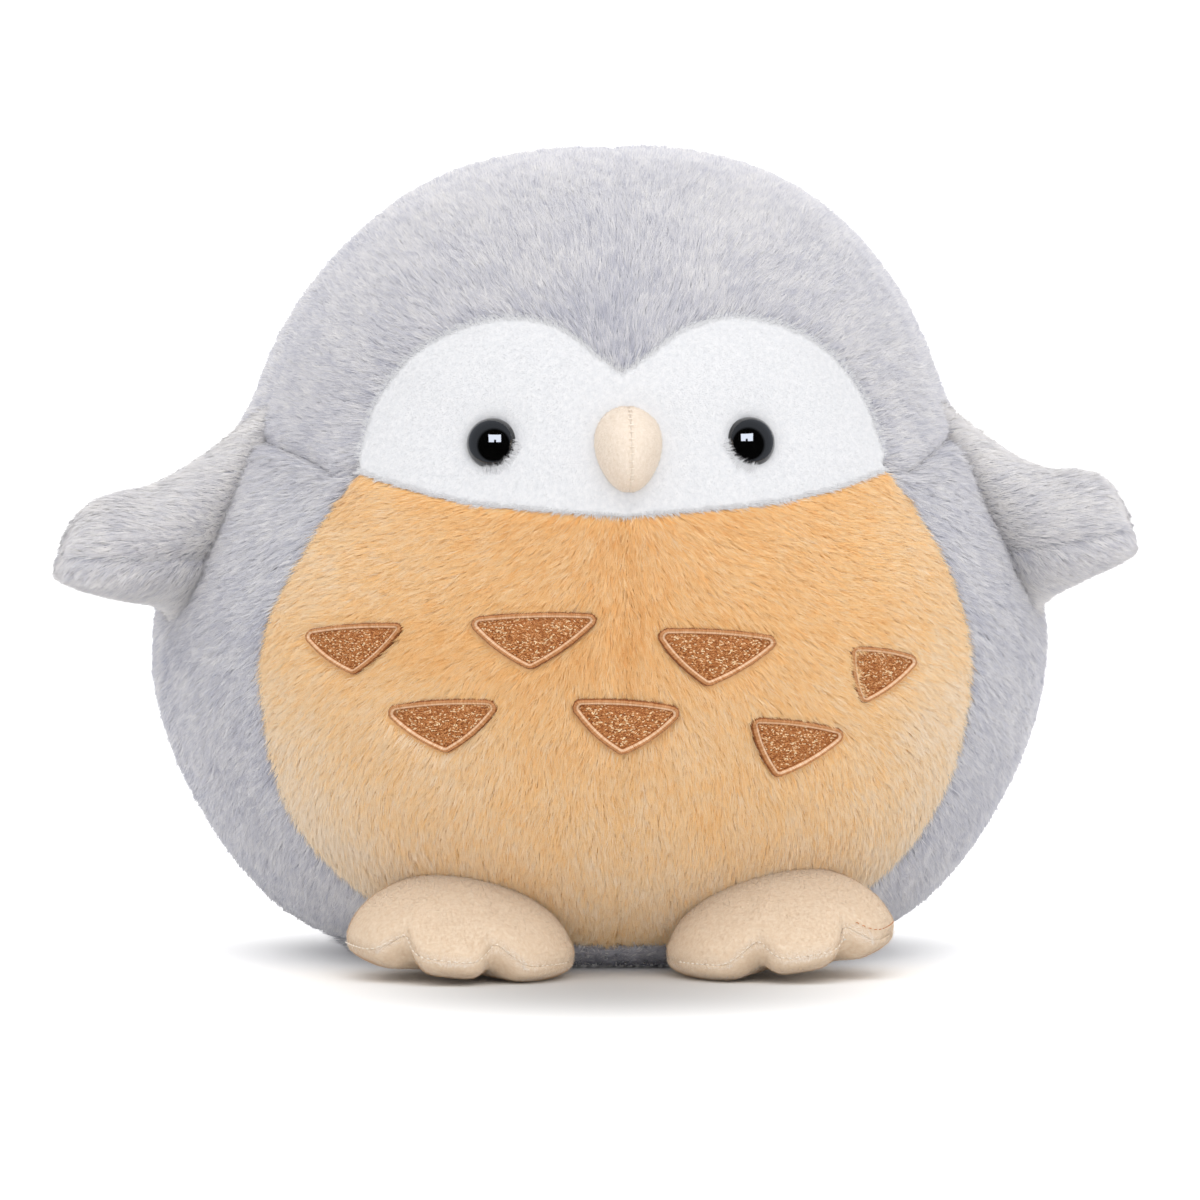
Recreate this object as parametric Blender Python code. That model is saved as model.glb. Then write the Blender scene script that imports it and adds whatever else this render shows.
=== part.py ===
"""A round plush bird: sewn panels over a stuffed body, two flippers and two stuffed feet.

Metres, +Z up. The toy faces -Y and stands on the flat underside of its body, whose middle is the
origin. Left and right are as seen from the front, so left is -X. Every panel of the body lies on one
smooth egg-like surface, which the three body sizes and a short profile give; seams are drawn on it.
"""

import math

import bmesh
import bpy
from mathutils import Matrix, Vector
from mathutils.geometry import delaunay_2d_cdt

# Body sizes
BODY_HEIGHT = 0.194
BODY_WIDTH = 0.212
BODY_DEPTH = 0.184
FABRIC_THICKNESS = 0.003
SEAM_GAP = 0.0008
FILLING_CLEARANCE = 0.0012
PANEL_MESH_STEP = 0.0130
PART_CLEARANCE = 0.0004

# Height, half width and half depth of the body's outline from the middle of its base to the top of its
# head, as shares of the height, half the width and half the depth
PROFILE_SHARES = (
    (0.0, 0.0, 0.0),
    (0.0, 0.245, 0.25),
    (0.0, 0.47, 0.46),
    (0.041, 0.64, 0.65),
    (0.113, 0.79, 0.81),
    (0.206, 0.905, 0.93),
    (0.309, 0.98, 0.99),
    (0.407, 1.0, 1.0),
    (0.50, 0.957, 0.985),
    (0.593, 0.873, 0.94),
    (0.686, 0.778, 0.88),
    (0.784, 0.703, 0.80),
    (0.876, 0.585, 0.665),
    (0.946, 0.434, 0.49),
    (0.989, 0.236, 0.26),
    (1.0, 0.0, 0.0),
)
RIM_KNOT = 2

# Seams on the +X half, as pairs of across and height shares: x over the half width at that height, and z
# over the body's height. The -X half mirrors them.
TOP_SHARE = (0.0, 1.0)
FACE_PEAK_SHARE = (0.0, 0.753)
FACE_CORNER_SHARE = (0.74, 0.626)
FACE_BOTTOM_SHARE = (0.0, 0.578)
SIDE_NECK_SHARE = (0.978, 0.655)
BASE_SEAM_SHARE = 0.036
BELLY_CORNER_SHARE = (0.45, BASE_SEAM_SHARE)
SIDE_BASE_SHARE = (0.985, BASE_SEAM_SHARE)
FACE_TOP_SHARES = (
    (0.067, 0.770),
    (0.215, 0.807),
    (0.395, 0.818),
    (0.57, 0.799),
    (0.69, 0.760),
    (0.75, 0.700),
)
FACE_LOW_SHARES = ((0.35, 0.590), (0.55, 0.604))
NECK_SHARES = ((0.79, 0.622), (0.87, 0.637))
BELLY_EDGE_SHARES = (
    (0.785, 0.515),
    (0.814, 0.445),
    (0.828, 0.38),
    (0.834, 0.31),
    (0.84, 0.235),
    (0.825, 0.165),
    (0.775, 0.11),
    (0.67, 0.065),
)
SIDE_UPPER_SHARES = ((0.985, 0.75), (0.985, 0.85), (0.985, 0.94))
SIDE_LOWER_SHARES = ((0.972, 0.56), (0.975, 0.44), (0.985, 0.30), (0.985, 0.15))

# Beak, stuffed and sewn from two halves
BEAK_WIDTH = 0.016
BEAK_HEIGHT = 0.0215
BEAK_LENGTH = 0.0115
BEAK_SEAT = 0.0015
BEAK_DROOP = 0.002
BEAK_PLACE_SHARES = (0.014, 0.66)
BEAK_TAPER_SHARE = 0.16
MINKY_THICKNESS = 0.002

# Eyes: a domed plastic eye on a shank, held by a washer behind the face
EYE_DIAMETER = 0.012
EYE_DOME_HEIGHT = 0.0042
EYE_RIM_THICKNESS = 0.001
EYE_RECESS = 0.0012
EYE_PLACE_SHARES = (0.37, 0.671)
SHANK_DIAMETER = 0.0045
SHANK_OVERRUN = 0.0035
WASHER_DIAMETER = 0.014
WASHER_THICKNESS = 0.0015
WASHER_SEAT = 0.0006
POCKET_CLEARANCE = 0.001
EYE_SEGMENTS = 20
DOME_STEPS = 5

# Feather patches: embroidered triangles with a satin border, point down
PATCH_WIDTH = 0.0275
PATCH_DROP = 0.0135
PATCH_THICKNESS = 0.0009
PATCH_LIFT = 0.0006
BORDER_WIDTH = 0.0019
BORDER_RISE = 0.0005
BORDER_GAP = 0.0003
PATCH_MESH_STEP = 0.0075
PATCH_BULGE = 0.0006
# Points of a patch's side, from one corner to the next
PATCH_SIDE_SHARES = (0.06, 0.5, 0.94)
# Middle of each patch, across and height shares, its turn in degrees seen from the front and its size
PATCH_PLACES_SHARES = (
    (-0.612, 0.413, 4.0, 1.05),
    (-0.210, 0.430, 2.0, 1.05),
    (0.206, 0.409, -3.0, 1.04),
    (0.600, 0.376, -6.0, 0.95),
    (-0.415, 0.316, 6.0, 1.0),
    (0.0, 0.321, -1.0, 0.96),
    (0.400, 0.292, -10.0, 0.97),
)

# Wings: stuffed flippers, pinched flat where they enter the side seam
WING_REACH_LEFT = 0.0345
WING_REACH_RIGHT = 0.0325
WING_THICKNESS = 0.030
WING_SWEEP_LEFT = 0.0165
WING_SWEEP_RIGHT = 0.0105
WING_FABRIC_THICKNESS = 0.0022
WING_TURN = 78.0
WING_SWING = 25.0
WING_HINGE_LIFT = 0.002
WING_TOP_SHARE = 0.692
WING_BOTTOM_SHARE = 0.432
WING_UPPER_SHARE = 0.675
# Reach, thickness, upper and lower height of the flipper from its tip to inside the body, as shares
WING_STATION_SHARES = (
    (1.0, 0.0, 0.0, 0.0),
    (0.965, 0.36, 0.19, 0.22),
    (0.88, 0.62, 0.32, 0.28),
    (0.74, 0.85, 0.42, 0.41),
    (0.57, 0.98, 0.51, 0.54),
    (0.40, 1.0, 0.605, 0.64),
    (0.24, 0.88, 0.735, 0.73),
    (0.11, 0.58, 0.875, 0.86),
    (0.0, 0.24, 1.0, 1.0),
    (-0.12, 0.20, 0.9, 0.9),
    (-0.20, 0.0, 0.0, 0.0),
)

# Feet: three toes, an upper and a sole, hinged at the heel where they are sewn on
FOOT_LENGTH = 0.054
FOOT_WIDTH = 0.055
FOOT_HEIGHT = 0.0218
FOOT_SPACING = 0.069
FOOT_SEAM_HEIGHT = 0.0042
FOOT_TURN = 10.0
FOOT_ROLL = 5.5
FOOT_ROLL_SHARE = 0.72
FOOT_FABRIC_THICKNESS = 0.002
FOOT_FRONT_SHARE = 0.55
FOOT_SLOPE_SHARE = 0.36
TOE_NOTCH_SHARE = 0.17
TOE_SEAM_RISE = 0.0045
TOE_NOTCH_TURN = 27.0
TOE_NOTCH_SPREAD = 9.0
SOLE_ROUND_SHARE = 1.6
TOE_BLOCK_SHARE = 1.3

# Mesh fineness of the stuffed pieces, in parts of a turn
WING_SEGMENTS = 16
WING_RINGS = 10
FOOT_SEGMENTS = 32
FOOT_RINGS = 8
BEAK_SEGMENTS = 14
BEAK_RINGS = 8
FILLING_SEGMENTS = 24
FILLING_RINGS = 14
CUTTER_DIVISIONS = 4
THIN_WALL_FACTOR = 8
CURVE_STEPS = 12
SEARCH_STEPS = 40
NORMAL_TURN = 0.5
LATTICE_TURN = 60.0
LATTICE_SHIFT_SHARE = 0.25
LATTICE_EDGE_SHARE = 0.6
MITRE_LIMIT_SHARE = 0.25
BACK_MESH_SHARE = 1.4
MERGE_DISTANCE = 0.0000004
MERGE_SHARE = 0.001
SMOOTH_ANGLE = 50.0
CUTTER_OVERRUN = 0.01

LAST_KNOT = len(PROFILE_SHARES) - 1
RIM_LATITUDE = math.pi * RIM_KNOT / LAST_KNOT - math.pi / 2
MESH_TURN = 2 * PANEL_MESH_STEP / BODY_WIDTH
BACK_MESH_TURN = BACK_MESH_SHARE * MESH_TURN

# Each flat map of the body looks at it from one side: right, up and out
FRONT_MAP = (Vector((1, 0, 0)), Vector((0, 0, 1)), Vector((0, -1, 0)))
BACK_MAP = (Vector((-1, 0, 0)), Vector((0, 0, 1)), Vector((0, 1, 0)))
BASE_MAP = (Vector((1, 0, 0)), Vector((0, -1, 0)), Vector((0, 0, -1)))


# Curves and the body's surface


def between(before, start, end, after, share):
    """The point at this share of the way from start to end on a smooth curve through four points."""
    found = []
    for a, b, c, d in zip(before, start, end, after):
        bend = (2 * a - 5 * b + 4 * c - d) * share**2
        twist = (3 * b - a - 3 * c + d) * share**3
        found.append((2 * b + (c - a) * share + bend + twist) / 2)
    return tuple(found)


def along(points, place):
    """The point at a place, counted in points, on the smooth curve through the points."""
    last = len(points) - 1
    index = min(int(place), last - 1)
    first = tuple(2 * a - b for a, b in zip(points[0], points[1]))
    beyond = tuple(2 * a - b for a, b in zip(points[last], points[last - 1]))
    padded = (first, *points, beyond)
    return between(*padded[index : index + 4], place - index)


def profile(latitude):
    """Height, half width and half depth of the body at a latitude, which runs from the base to the top."""
    place = (latitude / math.pi + 0.5) * LAST_KNOT
    place = min(max(place, 0.0), float(LAST_KNOT))
    index = min(int(place), LAST_KNOT - 1)

    def knot(number):
        """A knot of the profile, carried on past either pole as its mirror image."""
        folded = abs(number) if number <= LAST_KNOT else 2 * LAST_KNOT - number
        height, width, depth = PROFILE_SHARES[folded]
        return (height, width, depth) if folded == number else (height, -width, -depth)

    knots = (knot(index - 1), knot(index), knot(index + 1), knot(index + 2))
    height, width, depth = between(*knots, place - index)
    return max(height, 0.0) * BODY_HEIGHT, width * BODY_WIDTH / 2, depth * BODY_DEPTH / 2


def skin(azimuth, latitude):
    """The point of the body's outer surface there; azimuth 0 is the front and rises towards +X."""
    height, width, depth = profile(latitude)
    return Vector((width * math.sin(azimuth), -depth * math.cos(azimuth), height))


def skin_normal(azimuth, latitude):
    """The direction out of the body there."""
    step = math.radians(NORMAL_TURN)
    capped = min(max(latitude, step - math.pi / 2), math.pi / 2 - step)
    up = skin(azimuth, capped + step / 2) - skin(azimuth, capped - step / 2)
    round_it = skin(azimuth + step, capped) - skin(azimuth - step, capped)
    return round_it.cross(up).normalized()


def body_point(azimuth, latitude, lift=0.0):
    """The point at a height above the body's outer surface."""
    return skin(azimuth, latitude) + lift * skin_normal(azimuth, latitude)


def latitude_at(height_share):
    """The latitude at which the outline passes this share of the body's height."""
    low, high = RIM_LATITUDE, math.pi / 2
    for _ in range(SEARCH_STEPS):
        middle = (low + high) / 2
        if profile(middle)[0] < height_share * BODY_HEIGHT:
            low = middle
        else:
            high = middle
    return (low + high) / 2


def place_of(share):
    """Azimuth and latitude of a pair of across and height shares."""
    across, height = share
    return math.asin(across), latitude_at(height)


def direction(azimuth, latitude):
    """The unit direction of a place."""
    level = math.cos(latitude)
    return Vector((math.sin(azimuth) * level, -math.cos(azimuth) * level, math.sin(latitude)))


def to_flat(place, flat_map):
    """A place drawn on a flat map that keeps distances from its middle."""
    right, up, out = flat_map
    pointing = direction(*place)
    turn = math.acos(min(max(pointing.dot(out), -1.0), 1.0))
    stretch = turn / math.sin(turn) if turn > 0 else 1.0
    return Vector((stretch * pointing.dot(right), stretch * pointing.dot(up)))


def from_flat(point, flat_map):
    """The place that a point of a flat map stands for."""
    right, up, out = flat_map
    turn = point.length
    shrink = math.sin(turn) / turn if turn > 0 else 1.0
    pointing = math.cos(turn) * out + shrink * (point.x * right + point.y * up)
    return math.atan2(pointing.x, -pointing.y), math.asin(min(max(pointing.z, -1.0), 1.0))


def evenly(points):
    """Points a mesh step apart along the smooth curve through the given flat points, both ends kept."""
    steps = (len(points) - 1) * CURVE_STEPS
    curve = [Vector(along(points, i / CURVE_STEPS)) for i in range(steps + 1)]
    lengths = [0.0]
    for start, end in zip(curve, curve[1:]):
        lengths.append(lengths[-1] + (end - start).length)
    count = max(2, round(lengths[-1] / MESH_TURN))
    spread, index = [], 0
    for number in range(count + 1):
        wanted = lengths[-1] * number / count
        while index < len(curve) - 2 and lengths[index + 1] < wanted:
            index += 1
        share = (wanted - lengths[index]) / (lengths[index + 1] - lengths[index])
        spread.append(curve[index].lerp(curve[index + 1], share))
    return spread


def seam(*shares):
    """Places along a seam through pairs of across and height shares."""
    flat = [tuple(to_flat(place_of(share), FRONT_MAP)) for share in shares]
    return [from_flat(point, FRONT_MAP) for point in evenly(flat)]


def level_seam(start, end):
    """Places along the base seam between two azimuths."""
    latitude = latitude_at(BASE_SEAM_SHARE)
    level = math.cos(latitude)
    count = max(2, round(abs(end - start) * level / MESH_TURN))
    return [(start + (end - start) * i / count, latitude) for i in range(count + 1)]


def upright_seam(azimuth, low, high):
    """Places up the outline at one azimuth."""
    count = max(2, round((high - low) / MESH_TURN))
    return [(azimuth, low + (high - low) * i / count) for i in range(count + 1)]


def mirrored(places):
    """The same places on the other half."""
    return [(-azimuth, latitude) for azimuth, latitude in places]


def loop_of(*seams):
    """One closed outline from seams that follow on from each other."""
    return [place for run in seams for place in run[:-1]]


# Mesh helpers


def new_material(name, colour, roughness):
    """A Principled material in one plain colour."""
    made = bpy.data.materials.new(name)
    made.use_nodes = True
    shader = made.node_tree.nodes["Principled BSDF"]
    shader.inputs["Base Color"].default_value = (*colour, 1.0)
    shader.inputs["Roughness"].default_value = roughness
    shader.inputs["Metallic"].default_value = 0.0
    made.diffuse_color = (*colour, 1.0)
    return made


def finish_mesh(name, mesh, material, merge=MERGE_DISTANCE):
    """An object from a bmesh, with doubles merged, faces turned out and round stretches smooth."""
    bmesh.ops.remove_doubles(mesh, verts=mesh.verts, dist=merge)
    bmesh.ops.recalc_face_normals(mesh, faces=mesh.faces)
    data = bpy.data.meshes.new(name)
    mesh.to_mesh(data)
    mesh.free()
    data.shade_smooth()
    data.set_sharp_from_angle(angle=math.radians(SMOOTH_ANGLE))
    data.materials.append(material)
    made = bpy.data.objects.new(name, data)
    bpy.context.scene.collection.objects.link(made)
    return made


def less_wall(size, wall):
    """A half width inside a wall; where there is little room the wall thins, so that some room is left."""
    return max(size - wall, size**2 / (size + THIN_WALL_FACTOR * wall)) if size > 0 else 0.0


def as_cutter(made):
    """The object hidden from the render, as a tool for Booleans."""
    made.hide_render = True
    made.display_type = "WIRE"
    return made


def swung_copy(cutter, name, place, axis, turn):
    """A copy of a cutter turned about an axis, which clears the way for what swings about it."""
    data = cutter.data.copy()
    about = Matrix.Translation(place)
    data.transform(about @ Matrix.Rotation(turn, 4, axis) @ about.inverted())
    made = bpy.data.objects.new(name, data)
    bpy.context.scene.collection.objects.link(made)
    return as_cutter(made)


def cut(made, *cutters):
    """The object with each cutter taken away."""
    for cutter in cutters:
        away = made.modifiers.new("cut_by_" + cutter.name, "BOOLEAN")
        away.operation = "DIFFERENCE"
        away.object = cutter
    return made


def hang_on(pivot, *pieces):
    """The pieces made children of the pivot, where they are."""
    for piece in pieces:
        piece.data.transform(Matrix.Translation(-pivot.location))
        piece.parent = pivot


def new_pivot(name, place):
    """An empty on a joint's axis."""
    pivot = bpy.data.objects.new(name, None)
    pivot.location = place
    bpy.context.scene.collection.objects.link(pivot)
    return pivot


def shaped_ball(name, material, segments, rings, shape):
    """A ball whose every vertex goes where shape(from_pole, round_pole) says, as one closed skin."""
    mesh = bmesh.new()
    bmesh.ops.create_uvsphere(mesh, u_segments=segments, v_segments=rings, radius=1.0)
    bmesh.ops.triangulate(mesh, faces=mesh.faces, quad_method="FIXED")
    for vertex in mesh.verts:
        from_pole = math.acos(min(max(vertex.co.z, -1.0), 1.0))
        vertex.co = shape(from_pole, math.atan2(vertex.co.y, vertex.co.x))
    return finish_mesh(name, mesh, material)


def turned(name, material, outline):
    """A solid turned round Z from (radius, height) points, which start and end on the axis or close up."""
    mesh = bmesh.new()
    points = [mesh.verts.new((radius, 0.0, height)) for radius, height in outline]
    edges = [mesh.edges.new(pair) for pair in zip(points, points[1:])]
    if outline[0][0] > 0:
        edges.append(mesh.edges.new((points[-1], points[0])))
    bmesh.ops.spin(
        mesh, geom=points + edges, axis=(0, 0, 1), cent=(0, 0, 0), angle=2 * math.pi, steps=EYE_SEGMENTS
    )
    return finish_mesh(name, mesh, material)


def half_space(name, point, away, size):
    """A block that fills everything past a plane through the point, on the side that away points to."""
    mesh = bmesh.new()
    bmesh.ops.create_cube(mesh, size=size)
    turn = away.to_track_quat("Z", "Y").to_matrix().to_4x4()
    place = Matrix.Translation(point + away * size / 2) @ turn
    bmesh.ops.transform(mesh, matrix=place, verts=mesh.verts)
    return as_cutter(finish_mesh(name, mesh, None))


# Flat patterns laid on the body


def signed_area(outline):
    """Twice the area inside a flat outline, positive where it runs anticlockwise."""
    return sum(a.x * b.y - b.x * a.y for a, b in zip(outline, outline[1:] + outline[:1]))


def drawn_in(outline, distance):
    """An anticlockwise outline moved inwards by a distance, with mitred corners."""
    moved = []
    for before, here, after in zip(outline[-1:] + outline[:-1], outline, outline[1:] + outline[:1]):
        arriving, leaving = (here - before).normalized(), (after - here).normalized()
        inward = Vector((-arriving.y - leaving.y, arriving.x + leaving.x))
        mitre = max(1.0 + arriving.dot(leaving), MITRE_LIMIT_SHARE)
        moved.append(here + inward * distance / mitre)
    return moved


def distance_to(point, outline):
    """How far a flat point is from an outline, negative outside it."""
    nearest, inside = math.inf, False
    for start, end in zip(outline, outline[1:] + outline[:1]):
        edge = end - start
        share = min(max((point - start).dot(edge) / edge.length_squared, 0.0), 1.0)
        nearest = min(nearest, (start + edge * share - point).length)
        if (start.y > point.y) != (end.y > point.y):
            crossing = start.x + (point.y - start.y) * edge.x / edge.y
            inside ^= crossing > point.x
    return nearest if inside else -nearest


def inner_points(outline, step):
    """Points of a triangular lattice that lie well inside an outline."""
    left, right = min(p.x for p in outline), max(p.x for p in outline)
    low, high = min(p.y for p in outline), max(p.y for p in outline)
    row_step = step * math.sin(math.radians(LATTICE_TURN))
    found = []
    for row in range(math.ceil((high - low) / row_step)):
        for column in range(math.ceil((right - left) / step) + 1):
            shift = LATTICE_SHIFT_SHARE if row % 2 else -LATTICE_SHIFT_SHARE
            point = Vector((left + (column + shift) * step, low + (row + 1 / 2) * row_step))
            if distance_to(point, outline) > LATTICE_EDGE_SHARE * step:
                found.append(point)
    return found


def laid_points(mesh, points, flat_map, lift):
    """Vertices laid at a lift over the body, each of which remembers the way into the body."""
    layers = mesh.verts.layers.float_vector
    inward = layers.get("inward") or layers.new("inward")
    made = []
    for point in points:
        place = from_flat(point, flat_map)
        vertex = mesh.verts.new(body_point(*place, lift))
        vertex[inward] = -skin_normal(*place)
        made.append(vertex)
    return made


def thickened(mesh, thickness):
    """The laid sheet extruded into the body, each point along its own way in."""
    inward = mesh.verts.layers.float_vector["inward"]
    grown = bmesh.ops.extrude_face_region(mesh, geom=mesh.faces[:], use_keep_orig=True)
    for vertex in (item for item in grown["geom"] if isinstance(item, bmesh.types.BMVert)):
        vertex.co += vertex[inward] * thickness
    return mesh


def laid_panel(name, material, outline, flat_map, lift, thickness, step):
    """A sheet of fabric with a flat outline, laid at a lift over the body and thickened inwards."""
    points = outline + inner_points(outline, step)
    edges = [(i, (i + 1) % len(outline)) for i in range(len(outline))]
    flat, _, faces, *_ = delaunay_2d_cdt(points, edges, [], 1, step * MERGE_SHARE)
    mesh = bmesh.new()
    made = laid_points(mesh, flat, flat_map, lift)
    for face in faces:
        mesh.faces.new([made[i] for i in face])
    return finish_mesh(name, thickened(mesh, thickness), material)


def body_panel(name, material, places, flat_map, step=MESH_TURN):
    """A panel of the body between seams."""
    outline = [to_flat(place, flat_map) for place in places]
    if signed_area(outline) < 0:
        outline.reverse()
    outline = drawn_in(outline, SEAM_GAP / BODY_WIDTH)
    return laid_panel(name, material, outline, flat_map, 0.0, FABRIC_THICKNESS, step)


# The body


def build_seams():
    """Every seam of the +X half of the body, by name."""
    base = latitude_at(BASE_SEAM_SHARE)
    belly_turn = place_of(BELLY_CORNER_SHARE)[0]
    side_turn = place_of(SIDE_BASE_SHARE)[0]
    top = math.pi / 2
    return {
        "crown_centre": upright_seam(0.0, latitude_at(FACE_PEAK_SHARE[1]), top),
        "face_top": seam(FACE_PEAK_SHARE, *FACE_TOP_SHARES, FACE_CORNER_SHARE),
        "face_low": seam(FACE_BOTTOM_SHARE, *FACE_LOW_SHARES, FACE_CORNER_SHARE),
        "neck": seam(FACE_CORNER_SHARE, *NECK_SHARES, SIDE_NECK_SHARE),
        "side_upper": seam(SIDE_NECK_SHARE, *SIDE_UPPER_SHARES, TOP_SHARE),
        "side_lower": seam(SIDE_NECK_SHARE, *SIDE_LOWER_SHARES, SIDE_BASE_SHARE),
        "belly_centre": upright_seam(0.0, base, latitude_at(FACE_BOTTOM_SHARE[1])),
        "belly_edge": seam(FACE_CORNER_SHARE, *BELLY_EDGE_SHARES, BELLY_CORNER_SHARE),
        "base_front": level_seam(0.0, belly_turn),
        "base_side": level_seam(belly_turn, side_turn),
        "base_back": level_seam(side_turn, math.pi),
        "back_centre": upright_seam(math.pi, base, top),
    }


def side_panels(side, seams, grey, tan):
    """The crown, belly, side and back panels of one half; side is 1 for +X and -1 for -X."""
    runs = seams if side > 0 else {name: mirrored(places) for name, places in seams.items()}
    word = "right" if side > 0 else "left"
    crown = loop_of(runs["crown_centre"][::-1], runs["face_top"], runs["neck"], runs["side_upper"])
    belly = loop_of(runs["face_low"], runs["belly_edge"], runs["base_front"][::-1], runs["belly_centre"])
    flank = loop_of(runs["neck"], runs["side_lower"], runs["base_side"][::-1], runs["belly_edge"][::-1])
    side_down = runs["side_upper"][::-1][:-1] + runs["side_lower"]
    back = loop_of(side_down, runs["base_back"], runs["back_centre"])
    return {
        "crown": body_panel("crown_panel_" + word, grey, crown, FRONT_MAP),
        "belly": body_panel("belly_panel_" + word, tan, belly, FRONT_MAP),
        "side": body_panel("side_panel_" + word, grey, flank, FRONT_MAP),
        "back": body_panel("back_panel_" + word, grey, back, BACK_MAP, BACK_MESH_TURN),
    }


def face_panel(seams, white):
    """The two-lobed white face, whose eye seats are cut later."""
    top, low = seams["face_top"], seams["face_low"]
    outline = loop_of(top, low[::-1], mirrored(low), mirrored(top)[::-1])
    return body_panel("face_panel", white, outline, FRONT_MAP)


def base_panel(seams, grey):
    """The flat underside with its turned-up edge."""
    half = seams["base_front"][:-1] + seams["base_side"][:-1] + seams["base_back"]
    return body_panel("base_panel", grey, loop_of(half, mirrored(half)[::-1]), BASE_MAP)


def body_ball(name, material, lift, divisions=None):
    """A closed solid of the body's shape at a lift, negative for inside it."""
    mesh = bmesh.new()
    if divisions:
        bmesh.ops.create_icosphere(mesh, subdivisions=divisions, radius=1.0)
    else:
        counts = {"u_segments": FILLING_SEGMENTS, "v_segments": FILLING_RINGS}
        bmesh.ops.create_uvsphere(mesh, radius=1.0, **counts)
    for vertex in mesh.verts:
        azimuth = math.atan2(vertex.co.x, -vertex.co.y)
        vertex.co = body_point(azimuth, math.asin(min(max(vertex.co.z, -1.0), 1.0)), lift)
    return finish_mesh(name, mesh, material)


# Eyes


def eye_places():
    """Origin and outward direction of each eye, left one first."""
    azimuth, latitude = place_of(EYE_PLACE_SHARES)
    return [(skin(turn, latitude), skin_normal(turn, latitude)) for turn in (-azimuth, azimuth)]


def seat_at(made, origin, outward):
    """The turned piece with its Z on the eye's axis."""
    made.matrix_world = Matrix.Translation(origin) @ outward.to_track_quat("Z", "Y").to_matrix().to_4x4()
    return made


def eye_outline():
    """Half section of the eye: dome, rim and shank, heights counted from the face's outer surface."""
    radius, shank = EYE_DIAMETER / 2, SHANK_DIAMETER / 2
    back = -EYE_RECESS
    rim = back + EYE_RIM_THICKNESS
    dome = [
        (radius * math.sin(turn), rim + EYE_DOME_HEIGHT * math.cos(turn))
        for turn in (math.pi / 2 * i / DOME_STEPS for i in range(DOME_STEPS + 1))
    ]
    dome[0] = (0.0, rim + EYE_DOME_HEIGHT)
    end = shank_end()
    return [*dome, (radius, back), (shank, back), (shank, end), (0.0, end)]


def shank_end():
    """Height of the shank's end, negative because it is inside the body."""
    return -FABRIC_THICKNESS - WASHER_SEAT - WASHER_THICKNESS - SHANK_OVERRUN


def build_eyes(face, filling, black, clear):
    """Both eyes with their washers, their seats in the face and their pockets in the filling."""
    shank = SHANK_DIAMETER / 2 + PART_CLEARANCE
    seat = EYE_DIAMETER / 2 + PART_CLEARANCE
    floor = -EYE_RECESS - PART_CLEARANCE
    through = -FABRIC_THICKNESS - CUTTER_OVERRUN
    seat_outline = [(0.0, CUTTER_OVERRUN), (seat, CUTTER_OVERRUN), (seat, floor), (shank, floor)]
    seat_outline += [(shank, through), (0.0, through)]
    pocket = WASHER_DIAMETER / 2 + POCKET_CLEARANCE
    bottom = shank_end() - POCKET_CLEARANCE
    pocket_outline = [(0.0, CUTTER_OVERRUN), (pocket, CUTTER_OVERRUN), (pocket, bottom), (0.0, bottom)]
    high = -FABRIC_THICKNESS - WASHER_SEAT
    low = high - WASHER_THICKNESS
    washer = WASHER_DIAMETER / 2
    washer_outline = [(shank, high), (washer, high), (washer, low), (shank, low)]
    for word, place in zip(("left", "right"), eye_places()):
        seat_at(turned("eye_" + word, black, eye_outline()), *place)
        seat_at(turned("eye_washer_" + word, clear, washer_outline), *place)
        cut(face, as_cutter(seat_at(turned("eye_seat_" + word, None, seat_outline), *place)))
        cut(filling, as_cutter(seat_at(turned("eye_pocket_" + word, None, pocket_outline), *place)))


# Beak


def beak_shape(inset):
    """The beak's surface, drawn in by an inset, as a shape for shaped_ball; its pole points forward."""
    place = place_of(BEAK_PLACE_SHARES)
    outward = skin_normal(*place)
    middle = body_point(*place, BEAK_SEAT)
    across = Vector((1, 0, 0))
    upward = outward.cross(across)
    upward = upward if upward.z > 0 else -upward

    def shape(from_pole, round_pole):
        """A point of the egg: wider above its middle, with a tip that droops."""
        ring = math.sin(from_pole)
        rise = math.cos(round_pole)
        width = (BEAK_WIDTH / 2 - inset) * ring * math.sin(round_pole) * (1 + BEAK_TAPER_SHARE * rise)
        height = (BEAK_HEIGHT / 2 - inset) * ring * rise
        reach = (BEAK_LENGTH - inset) * math.cos(from_pole)
        droop = BEAK_DROOP * max(math.cos(from_pole), 0.0)
        return middle + across * width + upward * (height - droop) + outward * reach

    return shape


def build_beak(body_cutter, peach, white_fill):
    """The beak's two halves and its filling, cut where they meet the face."""
    size = BEAK_HEIGHT + BEAK_LENGTH + 2 * CUTTER_OVERRUN
    middle = body_point(*place_of(BEAK_PLACE_SHARES))
    mesh_counts = (BEAK_SEGMENTS, BEAK_RINGS)
    hollow = as_cutter(shaped_ball("beak_hollow", None, *mesh_counts, beak_shape(MINKY_THICKNESS)))
    for word, side in (("left", -1), ("right", 1)):
        half = shaped_ball("beak_panel_" + word, peach, *mesh_counts, beak_shape(0.0))
        away = Vector((-side, 0, 0))
        other_half = half_space("beak_seam_" + word, middle - away * SEAM_GAP / 2, away, size)
        cut(half, hollow, body_cutter, other_half)
    shape = beak_shape(MINKY_THICKNESS + PART_CLEARANCE)
    cut(shaped_ball("beak_filling", white_fill, *mesh_counts, shape), body_cutter)


# Feather patches


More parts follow.
